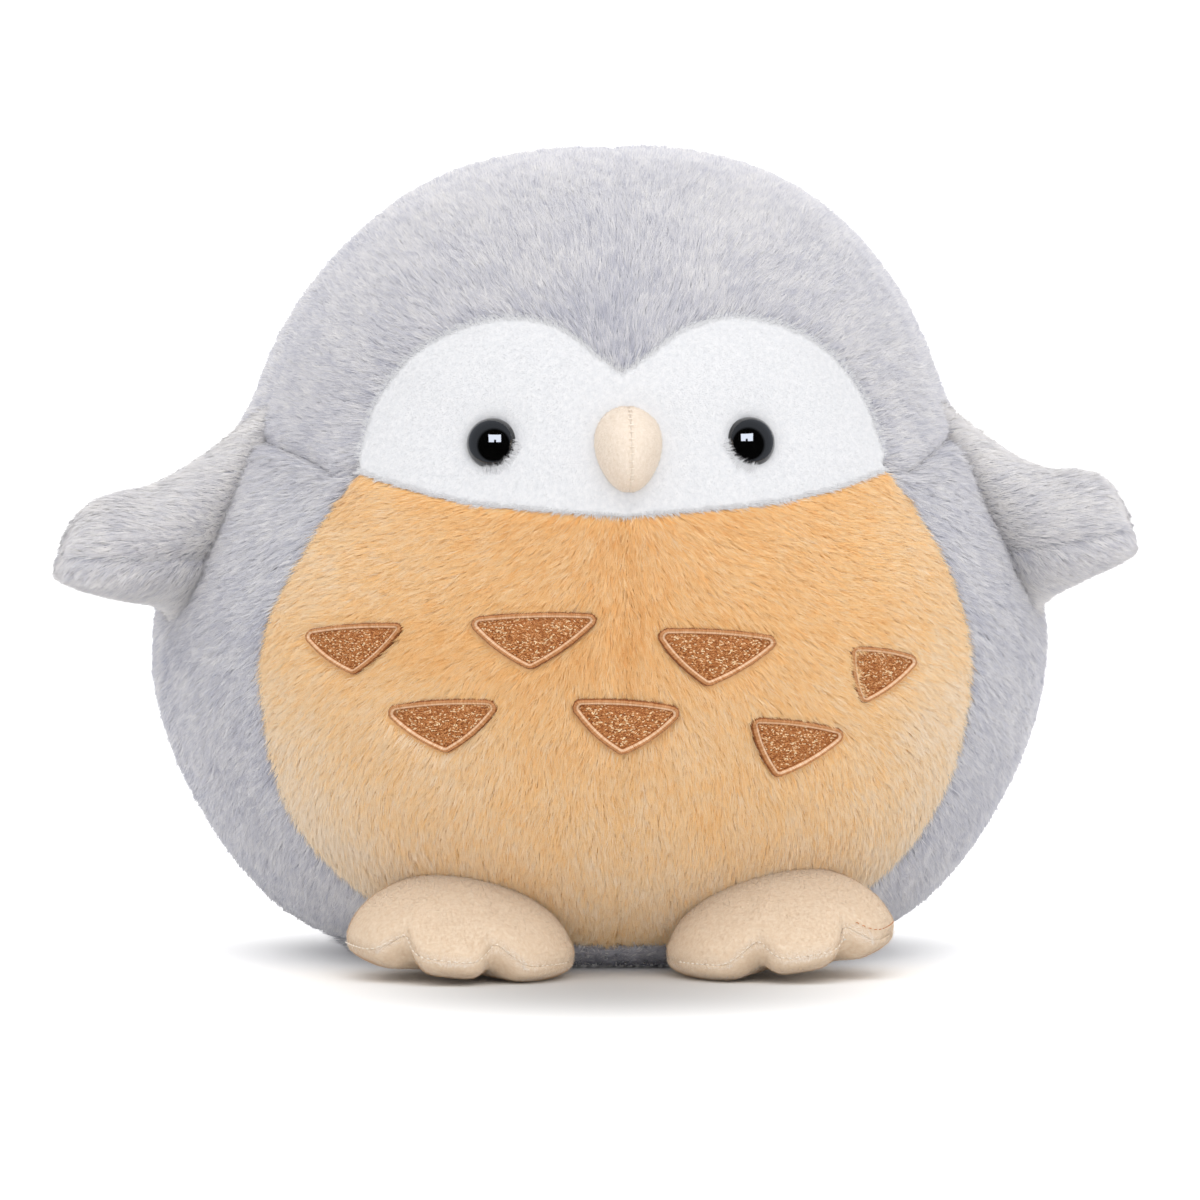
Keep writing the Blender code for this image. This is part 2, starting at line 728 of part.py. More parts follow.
def patch_outline(across, height, turn, size, margin):
    """Flat anticlockwise outline of one patch on the front map, grown by a margin."""
    middle = to_flat(place_of((across, height)), FRONT_MAP)
    scale = 2 / BODY_WIDTH
    half, drop = size * PATCH_WIDTH * scale / 2, size * PATCH_DROP * scale
    spin = Matrix.Rotation(math.radians(turn), 2)
    corners = [Vector((-half, drop / 2)), Vector((0.0, -drop / 2)), Vector((half, drop / 2))]
    corners = drawn_in([middle + spin @ corner for corner in corners], -margin * scale)
    outline = []
    for start, end in zip(corners, corners[1:] + corners[:1]):
        outward = Vector((end.y - start.y, start.x - end.x)).normalized()
        for share in PATCH_SIDE_SHARES:
            bulge = 4 * share * (1 - share) * PATCH_BULGE * scale
            outline.append(start.lerp(end, share) + outward * bulge)
    return outline


def build_patch(number, places, brown, satin):
    """One embroidered triangle and the satin border round it."""
    step = PATCH_MESH_STEP * 2 / BODY_WIDTH
    fill = patch_outline(*places, -BORDER_WIDTH - BORDER_GAP)
    lift = PATCH_LIFT + PATCH_THICKNESS
    laid_panel(f"feather_patch_{number}", brown, fill, FRONT_MAP, lift, PATCH_THICKNESS, step)
    mesh = bmesh.new()
    rings = []
    for margin in (0.0, -BORDER_WIDTH):
        points = laid_points(mesh, patch_outline(*places, margin), FRONT_MAP, lift + BORDER_RISE)
        rings += [mesh.edges.new(pair) for pair in zip(points, points[1:] + points[:1])]
    bmesh.ops.bridge_loops(mesh, edges=rings)
    finish_mesh(f"feather_border_{number}", thickened(mesh, PATCH_THICKNESS + BORDER_RISE), satin)


# Wings


def wing_frame(side):
    """Middle of a wing's root, its directions out, down and forward, and the root's length."""
    turn = side * math.radians(WING_TURN)
    top = skin(turn, latitude_at(WING_TOP_SHARE))
    bottom = skin(turn, latitude_at(WING_BOTTOM_SHARE))
    down = (bottom - top).normalized()
    normal = skin_normal(turn, latitude_at((WING_TOP_SHARE + WING_BOTTOM_SHARE) / 2))
    outward = (normal - down * normal.dot(down)).normalized()
    forward = outward.cross(down)
    forward = forward if forward.y < 0 else -forward
    return (top + bottom) / 2, outward, down, forward, (bottom - top).length


def wing_sizes(side):
    """Reach and sweep of a wing; the two were stuffed a little differently."""
    if side < 0:
        return WING_REACH_LEFT, WING_SWEEP_LEFT
    return WING_REACH_RIGHT, WING_SWEEP_RIGHT


def wing_seam(side, share):
    """The middle of a wing's section at a share of its reach: a line that sweeps down to the tip."""
    middle, outward, down, _, length = wing_frame(side)
    reach, sweep = wing_sizes(side)
    start = middle + down * length * (WING_UPPER_SHARE - 1 / 2)
    return start + (outward * reach + down * sweep) * share


def wing_shape(side, inset):
    """A wing's surface drawn in by an inset; its pole is the tip."""
    _, _, down, forward, length = wing_frame(side)
    reach, _ = wing_sizes(side)
    upper, lower = length * WING_UPPER_SHARE, length * (1 - WING_UPPER_SHARE)

    def shape(from_pole, round_pole):
        """A point of the flipper's section at one of its stations."""
        place = from_pole / math.pi * (len(WING_STATION_SHARES) - 1)
        out, thick, above, below = along(WING_STATION_SHARES, place)
        thick = less_wall(thick * WING_THICKNESS / 2, inset)
        tall = less_wall(above * upper if math.sin(round_pole) > 0 else below * lower, inset)
        out -= max(math.cos(from_pole), 0.0) * inset / reach
        section = forward * thick * math.cos(round_pole) - down * tall * math.sin(round_pole)
        return wing_seam(side, out) + section

    return shape


def build_wing(side, body_cutter, grey, white_fill):
    """One wing's upper and lower panel and its filling, on a pivot in the side seam."""
    word = "right" if side > 0 else "left"
    middle, outward, down, forward, length = wing_frame(side)
    hinge = middle + outward * WING_HINGE_LIFT
    line = (wing_seam(side, 1.0) - wing_seam(side, 0.0)).normalized()
    upward = line.cross(forward)
    upward = upward if upward.z > 0 else -upward
    size = 2 * (length + wing_sizes(side)[0] + CUTTER_OVERRUN)
    mesh_counts = (WING_SEGMENTS, WING_RINGS)
    inner = wing_shape(side, WING_FABRIC_THICKNESS)
    hollow = as_cutter(shaped_ball(f"wing_{word}_hollow", None, *mesh_counts, inner))
    cutters = [body_cutter]
    for end in (-WING_SWING, WING_SWING):
        turn = math.radians(end)
        cutters.append(swung_copy(body_cutter, f"body_from_wing_{word}", hinge, down, turn))
    pieces = []
    for part, kept in (("upper", upward), ("lower", -upward)):
        name = f"wing_{word}_{part}_panel"
        half = shaped_ball(name, grey, *mesh_counts, wing_shape(side, 0.0))
        start = wing_seam(side, 0.0) + kept * SEAM_GAP / 2
        other_half = half_space(f"wing_{word}_{part}_seam", start, -kept, size)
        pieces.append(cut(half, hollow, *cutters, other_half))
    shape = wing_shape(side, WING_FABRIC_THICKNESS + PART_CLEARANCE)
    filling = shaped_ball(f"wing_{word}_filling", white_fill, *mesh_counts, shape)
    pieces.append(cut(filling, *cutters))
    pivot = new_pivot(f"wing_{word}_hinge", hinge)
    hang_on(pivot, *pieces)


# Feet


def foot_frame(side):
    """A foot's heel on the floor, and its directions forward and sideways."""
    latitude = latitude_at(BASE_SEAM_SHARE)
    _, width, depth = profile(latitude)
    across = FOOT_SPACING / 2
    heel = Vector((side * across, -depth * math.sqrt(1 - (across / width) ** 2), 0.0))
    turn = side * math.radians(FOOT_TURN)
    forward = Vector((math.sin(turn), -math.cos(turn), 0.0))
    return heel, forward, Vector((math.cos(turn), math.sin(turn), 0.0))


def toe_notch(turn):
    """How deep the outline is in a valley between toes, from 0 to 1."""
    off = [(math.degrees(turn) - at) / TOE_NOTCH_SPREAD for at in (-TOE_NOTCH_TURN, TOE_NOTCH_TURN)]
    return sum(math.exp(-(gap**2)) for gap in off)


def foot_shape(side, inset):
    """A foot's surface drawn in by an inset; its pole is the top and its equator the toe seam."""
    heel, forward, sideways = foot_frame(side)
    front, rear = FOOT_LENGTH * FOOT_FRONT_SHARE, FOOT_LENGTH * (1 - FOOT_FRONT_SHARE)
    middle = heel + forward * rear
    roll = side * math.tan(math.radians(FOOT_ROLL))

    def shape(from_pole, round_pole, beyond=1.0):
        """A point of the foot: a dome over three toes above the seam, a flat sole below it."""
        ahead, aside = math.cos(round_pole), math.sin(round_pole)
        half = front if ahead > 0 else rear
        reach = 1 / math.hypot(ahead / (half - inset), aside / (FOOT_WIDTH / 2 - inset))
        rim = math.sin(from_pole) ** 2
        valley = toe_notch(round_pole) * rim
        out = beyond * reach * math.sin(from_pole) * (1 - TOE_NOTCH_SHARE * valley)
        height = FOOT_SEAM_HEIGHT
        rise = math.cos(from_pole)
        if rise > 0:
            slope = 1 - FOOT_SLOPE_SHARE * out * ahead / half
            dip = 1 - TOE_NOTCH_SHARE * valley
            height += (FOOT_HEIGHT - FOOT_SEAM_HEIGHT - inset) * rise * slope * dip
        else:
            height += (FOOT_SEAM_HEIGHT - inset) * SOLE_ROUND_SHARE * rise
        height = max(height, inset) + TOE_SEAM_RISE * valley
        offset = out * aside
        height += max(offset * roll + FOOT_WIDTH / 2 * FOOT_ROLL_SHARE * abs(roll), 0.0)
        place = middle + forward * out * ahead + sideways * offset
        place.z = height
        return place

    return shape


def toe_block(name, side, kept):
    """A block past the toe seam on the side that isn't kept; the seam climbs between the toes."""
    surface = foot_shape(side, 0.0)
    depth = FOOT_HEIGHT + CUTTER_OVERRUN

    def shape(from_pole, round_pole):
        """A point of the seam's sheet, or of the far side of the block."""
        place = surface(math.pi / 2, round_pole, TOE_BLOCK_SHARE * math.sin(from_pole))
        near = math.cos(from_pole) * kept > -MERGE_SHARE
        place.z += kept * SEAM_GAP / 2 if near else -kept * depth
        return place

    return as_cutter(shaped_ball(name, None, FOOT_SEGMENTS, FOOT_RINGS, shape))


def build_foot(side, body_cutter, peach, white_fill):
    """One foot's upper, sole and filling, on a pivot at the heel."""
    word = "right" if side > 0 else "left"
    level = foot_frame(side)[0] + Vector((0, 0, FOOT_SEAM_HEIGHT))
    mesh_counts = (FOOT_SEGMENTS, FOOT_RINGS)
    inner = foot_shape(side, FOOT_FABRIC_THICKNESS)
    hollow = as_cutter(shaped_ball(f"foot_{word}_hollow", None, *mesh_counts, inner))
    pieces = []
    for part, kept in (("upper", 1), ("sole", -1)):
        name = f"foot_{word}_{part}_panel"
        half = shaped_ball(name, peach, *mesh_counts, foot_shape(side, 0.0))
        other_half = toe_block(f"foot_{word}_{part}_seam", side, kept)
        pieces.append(cut(half, hollow, body_cutter, other_half))
    shape = foot_shape(side, FOOT_FABRIC_THICKNESS + PART_CLEARANCE)
    filling = shaped_ball(f"foot_{word}_filling", white_fill, *mesh_counts, shape)
    pieces.append(cut(filling, body_cutter))
    pivot = new_pivot(f"foot_{word}_hinge", level)
    hang_on(pivot, *pieces)


def main():
    """Clears the scene and builds the toy."""
    for old in list(bpy.data.objects):
        bpy.data.objects.remove(old, do_unlink=True)
    grey = new_material("grey_plush", (0.55, 0.55, 0.60), 0.95)
    tan = new_material("tan_plush", (0.80, 0.50, 0.25), 0.95)
    white = new_material("white_minky", (0.86, 0.86, 0.87), 0.9)
    peach = new_material("peach_minky", (0.84, 0.62, 0.43), 0.9)
    brown = new_material("brown_embroidery", (0.40, 0.14, 0.05), 0.6)
    satin = new_material("satin_stitch", (0.30, 0.10, 0.04), 0.5)
    black = new_material("black_gloss_plastic", (0.01, 0.01, 0.01), 0.08)
    clear = new_material("washer_plastic", (0.75, 0.75, 0.75), 0.4)
    white_fill = new_material("polyester_fibre", (0.9, 0.9, 0.9), 1.0)

    seams = build_seams()
    for side in (-1, 1):
        side_panels(side, seams, grey, tan)
    face = face_panel(seams, white)
    base_panel(seams, grey)
    filling = body_ball("body_filling", white_fill, -FABRIC_THICKNESS - FILLING_CLEARANCE)
    build_eyes(face, filling, black, clear)
    body_cutter = as_cutter(body_ball("body_cutter", None, SEAM_GAP, CUTTER_DIVISIONS))
    build_beak(body_cutter, peach, white_fill)
    for number, places in enumerate(PATCH_PLACES_SHARES, 1):
        build_patch(number, places, brown, satin)
    for side in (-1, 1):
        build_wing(side, body_cutter, grey, white_fill)
        build_foot(side, body_cutter, peach, white_fill)


main()
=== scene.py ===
"""The looks of a round plush bird: pile fabric sewn over stuffing, glossy eyes and stitched feather marks.

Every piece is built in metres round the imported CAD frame, which is loaded first and never moved. The toy
faces -Y and stands on z = 0. Left and right are as seen from the front, so left is -X. The pile is real
geometry: thousands of fine tapering fibres that lean with the nap and gather into tufts.
"""

import logging
import math
from collections.abc import Callable, Sequence
from dataclasses import dataclass, field
from enum import Enum

import bpy
import numpy as np
from mathutils import Matrix, Vector
from mathutils.geometry import delaunay_2d_cdt


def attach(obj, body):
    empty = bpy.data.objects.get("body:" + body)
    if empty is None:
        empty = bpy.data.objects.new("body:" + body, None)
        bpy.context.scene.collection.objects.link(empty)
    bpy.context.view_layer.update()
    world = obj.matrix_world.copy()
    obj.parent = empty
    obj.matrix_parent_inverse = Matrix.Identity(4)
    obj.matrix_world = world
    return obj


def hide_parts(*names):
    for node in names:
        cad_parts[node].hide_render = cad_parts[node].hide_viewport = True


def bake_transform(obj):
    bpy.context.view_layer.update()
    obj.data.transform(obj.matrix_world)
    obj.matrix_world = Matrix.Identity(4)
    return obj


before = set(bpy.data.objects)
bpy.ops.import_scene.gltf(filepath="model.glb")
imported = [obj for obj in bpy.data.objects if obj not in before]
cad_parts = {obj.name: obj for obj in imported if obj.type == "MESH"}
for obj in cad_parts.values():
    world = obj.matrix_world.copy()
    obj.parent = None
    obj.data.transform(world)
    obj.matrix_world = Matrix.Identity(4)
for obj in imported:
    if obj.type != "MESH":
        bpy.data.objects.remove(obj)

Array = np.ndarray
Nap = Callable[[Array], Array]
Tone = Callable[[Array, Array], Array]
MM = 0.001
log = logging.getLogger("plush_bird")


class Side(Enum):
    """Which half of the toy, as seen from the front."""

    LEFT = -1
    RIGHT = 1

    @property
    def word(self) -> str:
        """The half's name as the nodes spell it."""
        return self.name.lower()


class FlatMap(Enum):
    """A flat map of the body that keeps distances from its middle: right, up and out."""

    FRONT = ((1, 0, 0), (0, 0, 1), (0, -1, 0))
    BACK = ((-1, 0, 0), (0, 0, 1), (0, 1, 0))
    BASE = ((1, 0, 0), (0, -1, 0), (0, 0, -1))


# Small helpers


def linear(colour: str) -> tuple[float, float, float, float]:
    """Turns an sRGB hex colour to linear.

    Args:
        colour: Six hex digits, such as "F0F1F4".

    Returns:
        Red, green, blue and an alpha of 1.
    """
    parts = (int(colour[i : i + 2], 16) / 255 for i in (0, 2, 4))
    red, green, blue = (c / 12.92 if c <= 0.04045 else ((c + 0.055) / 1.055) ** 2.4 for c in parts)
    return red, green, blue, 1.0


def add_node(tree: bpy.types.NodeTree, kind: str, inputs: dict | None = None, **settings) -> bpy.types.Node:
    """Adds a node with its settings, values and links.

    Args:
        tree: The tree it goes into.
        kind: The node's Blender type.
        inputs: Socket name or number to a value, or to the output socket that feeds it.
        **settings: The node's own properties.

    Returns:
        The new node.
    """
    node = tree.nodes.new(kind)
    for key, value in settings.items():
        setattr(node, key, value)
    for key, value in (inputs or {}).items():
        if isinstance(value, bpy.types.NodeSocket):
            tree.links.new(value, node.inputs[key])
        else:
            node.inputs[key].default_value = value
    return node


def maths(tree: bpy.types.NodeTree, operation: str, *values) -> bpy.types.NodeSocket:
    """The result of a maths node on values, or on the sockets that feed it."""
    return add_node(tree, "ShaderNodeMath", dict(enumerate(values)), operation=operation).outputs[0]


def set_ramp(node: bpy.types.Node, stops: Sequence[tuple[float, str]]) -> bpy.types.NodeSocket:
    """Gives a colour ramp its stops.

    Args:
        node: The colour ramp.
        stops: Places from 0 to 1 with their sRGB hex colours.

    Returns:
        The ramp's colour socket.
    """
    ramp = node.color_ramp
    while len(ramp.elements) < len(stops):
        ramp.elements.new(1.0)
    for element, (place, colour) in zip(ramp.elements, stops):
        element.position = place
        element.color = linear(colour)
    return node.outputs["Color"]


def new_finish(name: str, roughness: float, **sockets) -> tuple[bpy.types.Material, bpy.types.Node]:
    """A material with a Principled shader.

    Args:
        name: The material's name.
        roughness: Its roughness.
        **sockets: Other values, with spaces in their socket names written as underscores.

    Returns:
        The material and its shader node.
    """
    material = bpy.data.materials.new(name)
    material.use_nodes = True
    shader = material.node_tree.nodes["Principled BSDF"]
    shader.inputs["Roughness"].default_value = roughness
    for key, value in sockets.items():
        shader.inputs[key.replace("_", " ")].default_value = value
    return material, shader


def unit(vectors: Array) -> Array:
    """Vectors scaled to length 1."""
    return vectors / np.maximum(np.linalg.norm(vectors, axis=-1, keepdims=True), 1e-12)


def depth_inside(points: Array, outline: Array) -> Array:
    """How far flat points lie inside an outline.

    Args:
        points: Flat points, one per row.
        outline: The outline's corners in order.

    Returns:
        The distance to the outline for each point, negative outside it.
    """
    found = []
    ends = np.roll(outline, -1, axis=0)
    edges = ends - outline
    for part in np.array_split(points, len(points) // 20000 + 1):
        off = part[:, None] - outline
        share = np.clip((off * edges).sum(2) / np.maximum((edges**2).sum(1), 1e-18), 0, 1)
        nearest = np.linalg.norm(off - share[..., None] * edges, axis=2).min(1)
        above = outline[:, 1] > part[:, 1:2]
        passes = above != (ends[:, 1] > part[:, 1:2])
        rise = np.where(np.abs(edges[:, 1]) > 1e-15, edges[:, 1], 1e-15)
        crossing = outline[:, 0] - (outline[:, 1] - part[:, 1:2]) * edges[:, 0] / rise
        inside = (passes & (crossing > part[:, :1])).sum(1) % 2 == 1
        found.append(np.where(inside, nearest, -nearest))
    return np.concatenate(found)


def mesh_object(
    name: str, points: Array, faces: Array, uv: Array | None = None, facing: Array | None = None
) -> bpy.types.Object:
    """A smooth mesh object at the origin.

    Args:
        name: The object's name.
        points: Its vertices, one per row.
        faces: Its triangles or quads, one per row.
        uv: A place on the pile's colour chart for each vertex, if it has one.
        facing: The way each vertex faces, if that differs from its faces' own, as on fibres.

    Returns:
        The new object, linked to the scene.
    """
    data = bpy.data.meshes.new(name)
    sides = faces.shape[1]
    data.vertices.add(len(points))
    data.vertices.foreach_set("co", points.astype(np.float32).ravel())
    data.loops.add(faces.size)
    data.loops.foreach_set("vertex_index", faces.astype(np.int32).ravel())
    data.polygons.add(len(faces))
    data.polygons.foreach_set("loop_start", np.arange(0, faces.size, sides, dtype=np.int32))
    data.update(calc_edges=True)
    data.shade_smooth()
    if uv is not None:
        layer = data.uv_layers.new(name=CHART)
        layer.uv.foreach_set("vector", uv[faces.ravel()].astype(np.float32).ravel())
    if facing is not None:
        data.normals_split_custom_set_from_vertices(facing.astype(np.float32))
    made = bpy.data.objects.new(name, data)
    bpy.context.scene.collection.objects.link(made)
    return made


def apply_modifier(made: bpy.types.Object, kind: str, **settings) -> None:
    """Adds a modifier with its settings and applies it."""
    bpy.ops.object.select_all(action="DESELECT")
    made.select_set(True)
    bpy.context.view_layer.objects.active = made
    modifier = made.modifiers.new(kind.lower(), kind)
    for key, value in settings.items():
        setattr(modifier, key, value)
    bpy.ops.object.modifier_apply(modifier=modifier.name)


# The UV map that the fibres read their colour from: across is the shade, up is root to tip
CHART = "OFBake"


class Unevenness:
    """Smooth seeded noise in space, for what stuffing and brushing leave uneven."""

    SPAN = 32

    def __init__(self, seed: int) -> None:
        """Fills the noise's table from the seed."""
        self.table = np.random.default_rng(seed).uniform(-1, 1, (self.SPAN,) * 3)

    def at(self, points: Array, scale: float) -> Array:
        """The noise at points.

        Args:
            points: Places in metres, one per row.
            scale: The size of its waves in metres.

        Returns:
            A value from -1 to 1 for each point.
        """
        place = points / scale + 100.0
        low = np.floor(place).astype(int)
        share = place - low
        share = share * share * (3 - 2 * share)
        total = np.zeros(len(points))
        for corner in np.ndindex(2, 2, 2):
            weight = np.prod(np.where(corner, share, 1 - share), axis=1)
            total += weight * self.table[tuple(((low + corner) % self.SPAN).T)]
        return total


class Tufts:
    """The scattered middles that the fibres' tips gather to, each with its own chance values."""

    def __init__(self, size: float, seed: int) -> None:
        """Keeps the tufts' spacing in metres and the seed."""
        self.size = size
        self.seed = seed

    def chance(self, cells: Array, kind: int) -> Array:
        """A value from 0 to 1 for each cell, the same each time."""
        mixed = cells[:, 0] * 73856093 ^ cells[:, 1] * 19349663 ^ cells[:, 2] * 83492791
        mixed = (mixed ^ (self.seed * 2654435761 + kind * 40503)) & 0xFFFFFFFF
        for _ in range(2):
            mixed = ((mixed ^ (mixed >> 15)) * 739982445) & 0xFFFFFFFF
        return (mixed ^ (mixed >> 13)) % 65536 / 65535

    def nearest(self, points: Array) -> tuple[Array, Array]:
        """The nearest tuft to each point.

        Args:
            points: Places in metres, one per row.

        Returns:
            The tuft's middle and its cell for each point.
        """
        home = np.floor(points / self.size).astype(np.int64)
        best = np.full(len(points), np.inf)
        middles, cells = points.copy(), home.copy()
        for step in np.ndindex(3, 3, 3):
            cell = home + np.array(step) - 1
            jitter = np.stack([self.chance(cell, kind) for kind in (1, 2, 3)], 1)
            middle = (cell + jitter) * self.size
            far = ((middle - points) ** 2).sum(1)
            nearer = far < best
            best[nearer], middles[nearer], cells[nearer] = far[nearer], middle[nearer], cell[nearer]
        return middles, cells


# The body's surface


def mixed(rows: Array, index: Array, share: Array) -> Array:
    """The smooth curve's points a share of the way past the rows at an index, which start one row early."""
    a, b, c, d = (rows[index + i] for i in range(4))
    share = share[:, None]
    bend = (2 * a - 5 * b + 4 * c - d) * share**2 + (3 * b - a - 3 * c + d) * share**3
    return (2 * b + (c - a) * share + bend) / 2


def smooth_curve(points: Array, places: Array) -> Array:
    """Points on the smooth curve through given points.

    Args:
        points: The points that it passes, one per row.
        places: Where on it, counted in points.

    Returns:
        One row for each place.
    """
    rows = np.vstack((2 * points[0] - points[1], points, 2 * points[-1] - points[-2]))
    index = np.clip(places.astype(int), 0, len(points) - 2)
    return mixed(rows, index, places - index)


def spaced(points: Array, step: float) -> Array:
    """The smooth curve through the points, at even steps with both ends kept."""
    fine = smooth_curve(points, np.linspace(0, len(points) - 1, 24 * len(points)))
    run = np.concatenate(([0.0], np.cumsum(np.linalg.norm(np.diff(fine, axis=0), axis=1))))
    wanted = np.linspace(0, run[-1], max(2, round(run[-1] / step)) + 1)
    return np.stack([np.interp(wanted, run, fine[:, i]) for i in range(fine.shape[1])], 1)


@dataclass(frozen=True)
class BodyForm:
    """The smooth egg-like surface that the body's panels lie on.

    A place on it is an azimuth, 0 at the front and rising towards +X, and a latitude.
    """

    height: float = 0.194
    width: float = 0.212
    depth: float = 0.184
    # Height, half width and half depth from the middle of the base to the top of the head, as shares
    outline: tuple = (
        (0.0, 0.0, 0.0),
        (0.0, 0.245, 0.25),
        (0.0, 0.47, 0.46),
        (0.041, 0.64, 0.65),
        (0.113, 0.79, 0.81),
        (0.206, 0.905, 0.93),
        (0.309, 0.98, 0.99),
        (0.407, 1.0, 1.0),
        (0.50, 0.957, 0.985),
        (0.593, 0.873, 0.94),
        (0.686, 0.778, 0.88),
        (0.784, 0.703, 0.80),
        (0.876, 0.585, 0.665),
        (0.946, 0.434, 0.49),
        (0.989, 0.236, 0.26),
        (1.0, 0.0, 0.0),
    )
    rim_knot: int = 2
    # How far the top of the head leans towards +X, and where up the body that starts
    lean: float = 0.0032
    lean_start: float = 0.14

    def leaning(self, height: Array) -> Array:
        """How far the body leans towards +X at each height in metres."""
        rise = (height - self.lean_start) / (self.height - self.lean_start)
        return self.lean * np.clip(rise, 0, 1) ** 1.3

    def profile(self, latitude: Array) -> Array:
        """Height, half width and half depth at each latitude."""
        knots = np.array(self.outline)
        last = len(knots) - 1
        place = np.clip((np.atleast_1d(latitude) / math.pi + 0.5) * last, 0, last)
        index = np.minimum(place.astype(int), last - 1)
        turned = np.array((1, -1, -1))
        found = mixed(np.vstack((knots[1] * turned, knots, knots[-2] * turned)), index, place - index)
        found[:, 0] = np.maximum(found[:, 0], 0)
        return found * (self.height, self.width / 2, self.depth / 2)

    def skin(self, places: Array) -> Array:
        """The surface's points at places."""
        height, width, depth = self.profile(places[:, 1]).T
        across = width * np.sin(places[:, 0]) + self.leaning(height)
        return np.stack((across, -depth * np.cos(places[:, 0]), height), 1)

    def normal(self, places: Array) -> Array:
        """The directions out of the body at places."""
        step = math.radians(0.5)
        capped = places.copy()
        capped[:, 1] = np.clip(places[:, 1], step - math.pi / 2, math.pi / 2 - step)
        up = self.skin(capped + (0, step / 2)) - self.skin(capped - (0, step / 2))
        across = self.skin(capped + (step, 0)) - self.skin(capped - (step, 0))
        return unit(np.cross(across, up))

    def latitude_at(self, height: float | Array) -> Array:
        """The latitude at which the outline passes a share of the body's height."""
        rim = math.pi * self.rim_knot / (len(self.outline) - 1) - math.pi / 2
        table = np.linspace(rim, math.pi / 2, 3001)
        return np.interp(height, self.profile(table)[:, 0] / self.height, table)

    def place_of(self, across: float, height: float) -> Array:
        """The place of a pair of across and height shares."""
        return np.array([[math.asin(across), float(self.latitude_at(height))]])

    def locate(self, points: Array) -> tuple[Array, Array]:
        """The places level with points, and how far out they are as a share of the body's own outline."""
        latitude = self.latitude_at(points[:, 2] / self.height)
        _, width, depth = self.profile(latitude).T
        across = (points[:, 0] - self.leaning(points[:, 2])) / np.maximum(width, 1e-6)
        ahead = -points[:, 1] / np.maximum(depth, 1e-6)
        return np.stack((np.arctan2(across, ahead), latitude), 1), np.hypot(across, ahead)


FORM = BodyForm()


def to_flat(places: Array, flat_map: FlatMap) -> Array:
    """Places drawn on a flat map, in radians from its middle."""
    right, up, out = (np.array(axis) for axis in flat_map.value)
    level = np.cos(places[:, 1])
    pointing = (np.sin(places[:, 0]) * level, -np.cos(places[:, 0]) * level, np.sin(places[:, 1]))
    pointing = np.stack(pointing, 1)
    turn = np.arccos(np.clip(pointing @ out, -1, 1))
    stretch = turn / np.maximum(np.sin(turn), 1e-9)
    return np.stack((stretch * (pointing @ right), stretch * (pointing @ up)), 1)


def from_flat(points: Array, flat_map: FlatMap) -> Array:
    """The places that points of a flat map stand for."""
    right, up, out = (np.array(axis) for axis in flat_map.value)
    turn = np.linalg.norm(points, axis=1, keepdims=True)
    shrink = np.sin(turn) / np.maximum(turn, 1e-9)
    pointing = np.cos(turn) * out + shrink * (points[:, :1] * right + points[:, 1:] * up)
    return np.stack(
        (np.arctan2(pointing[:, 0], -pointing[:, 1]), np.arcsin(np.clip(pointing[:, 2], -1, 1))), 1
    )


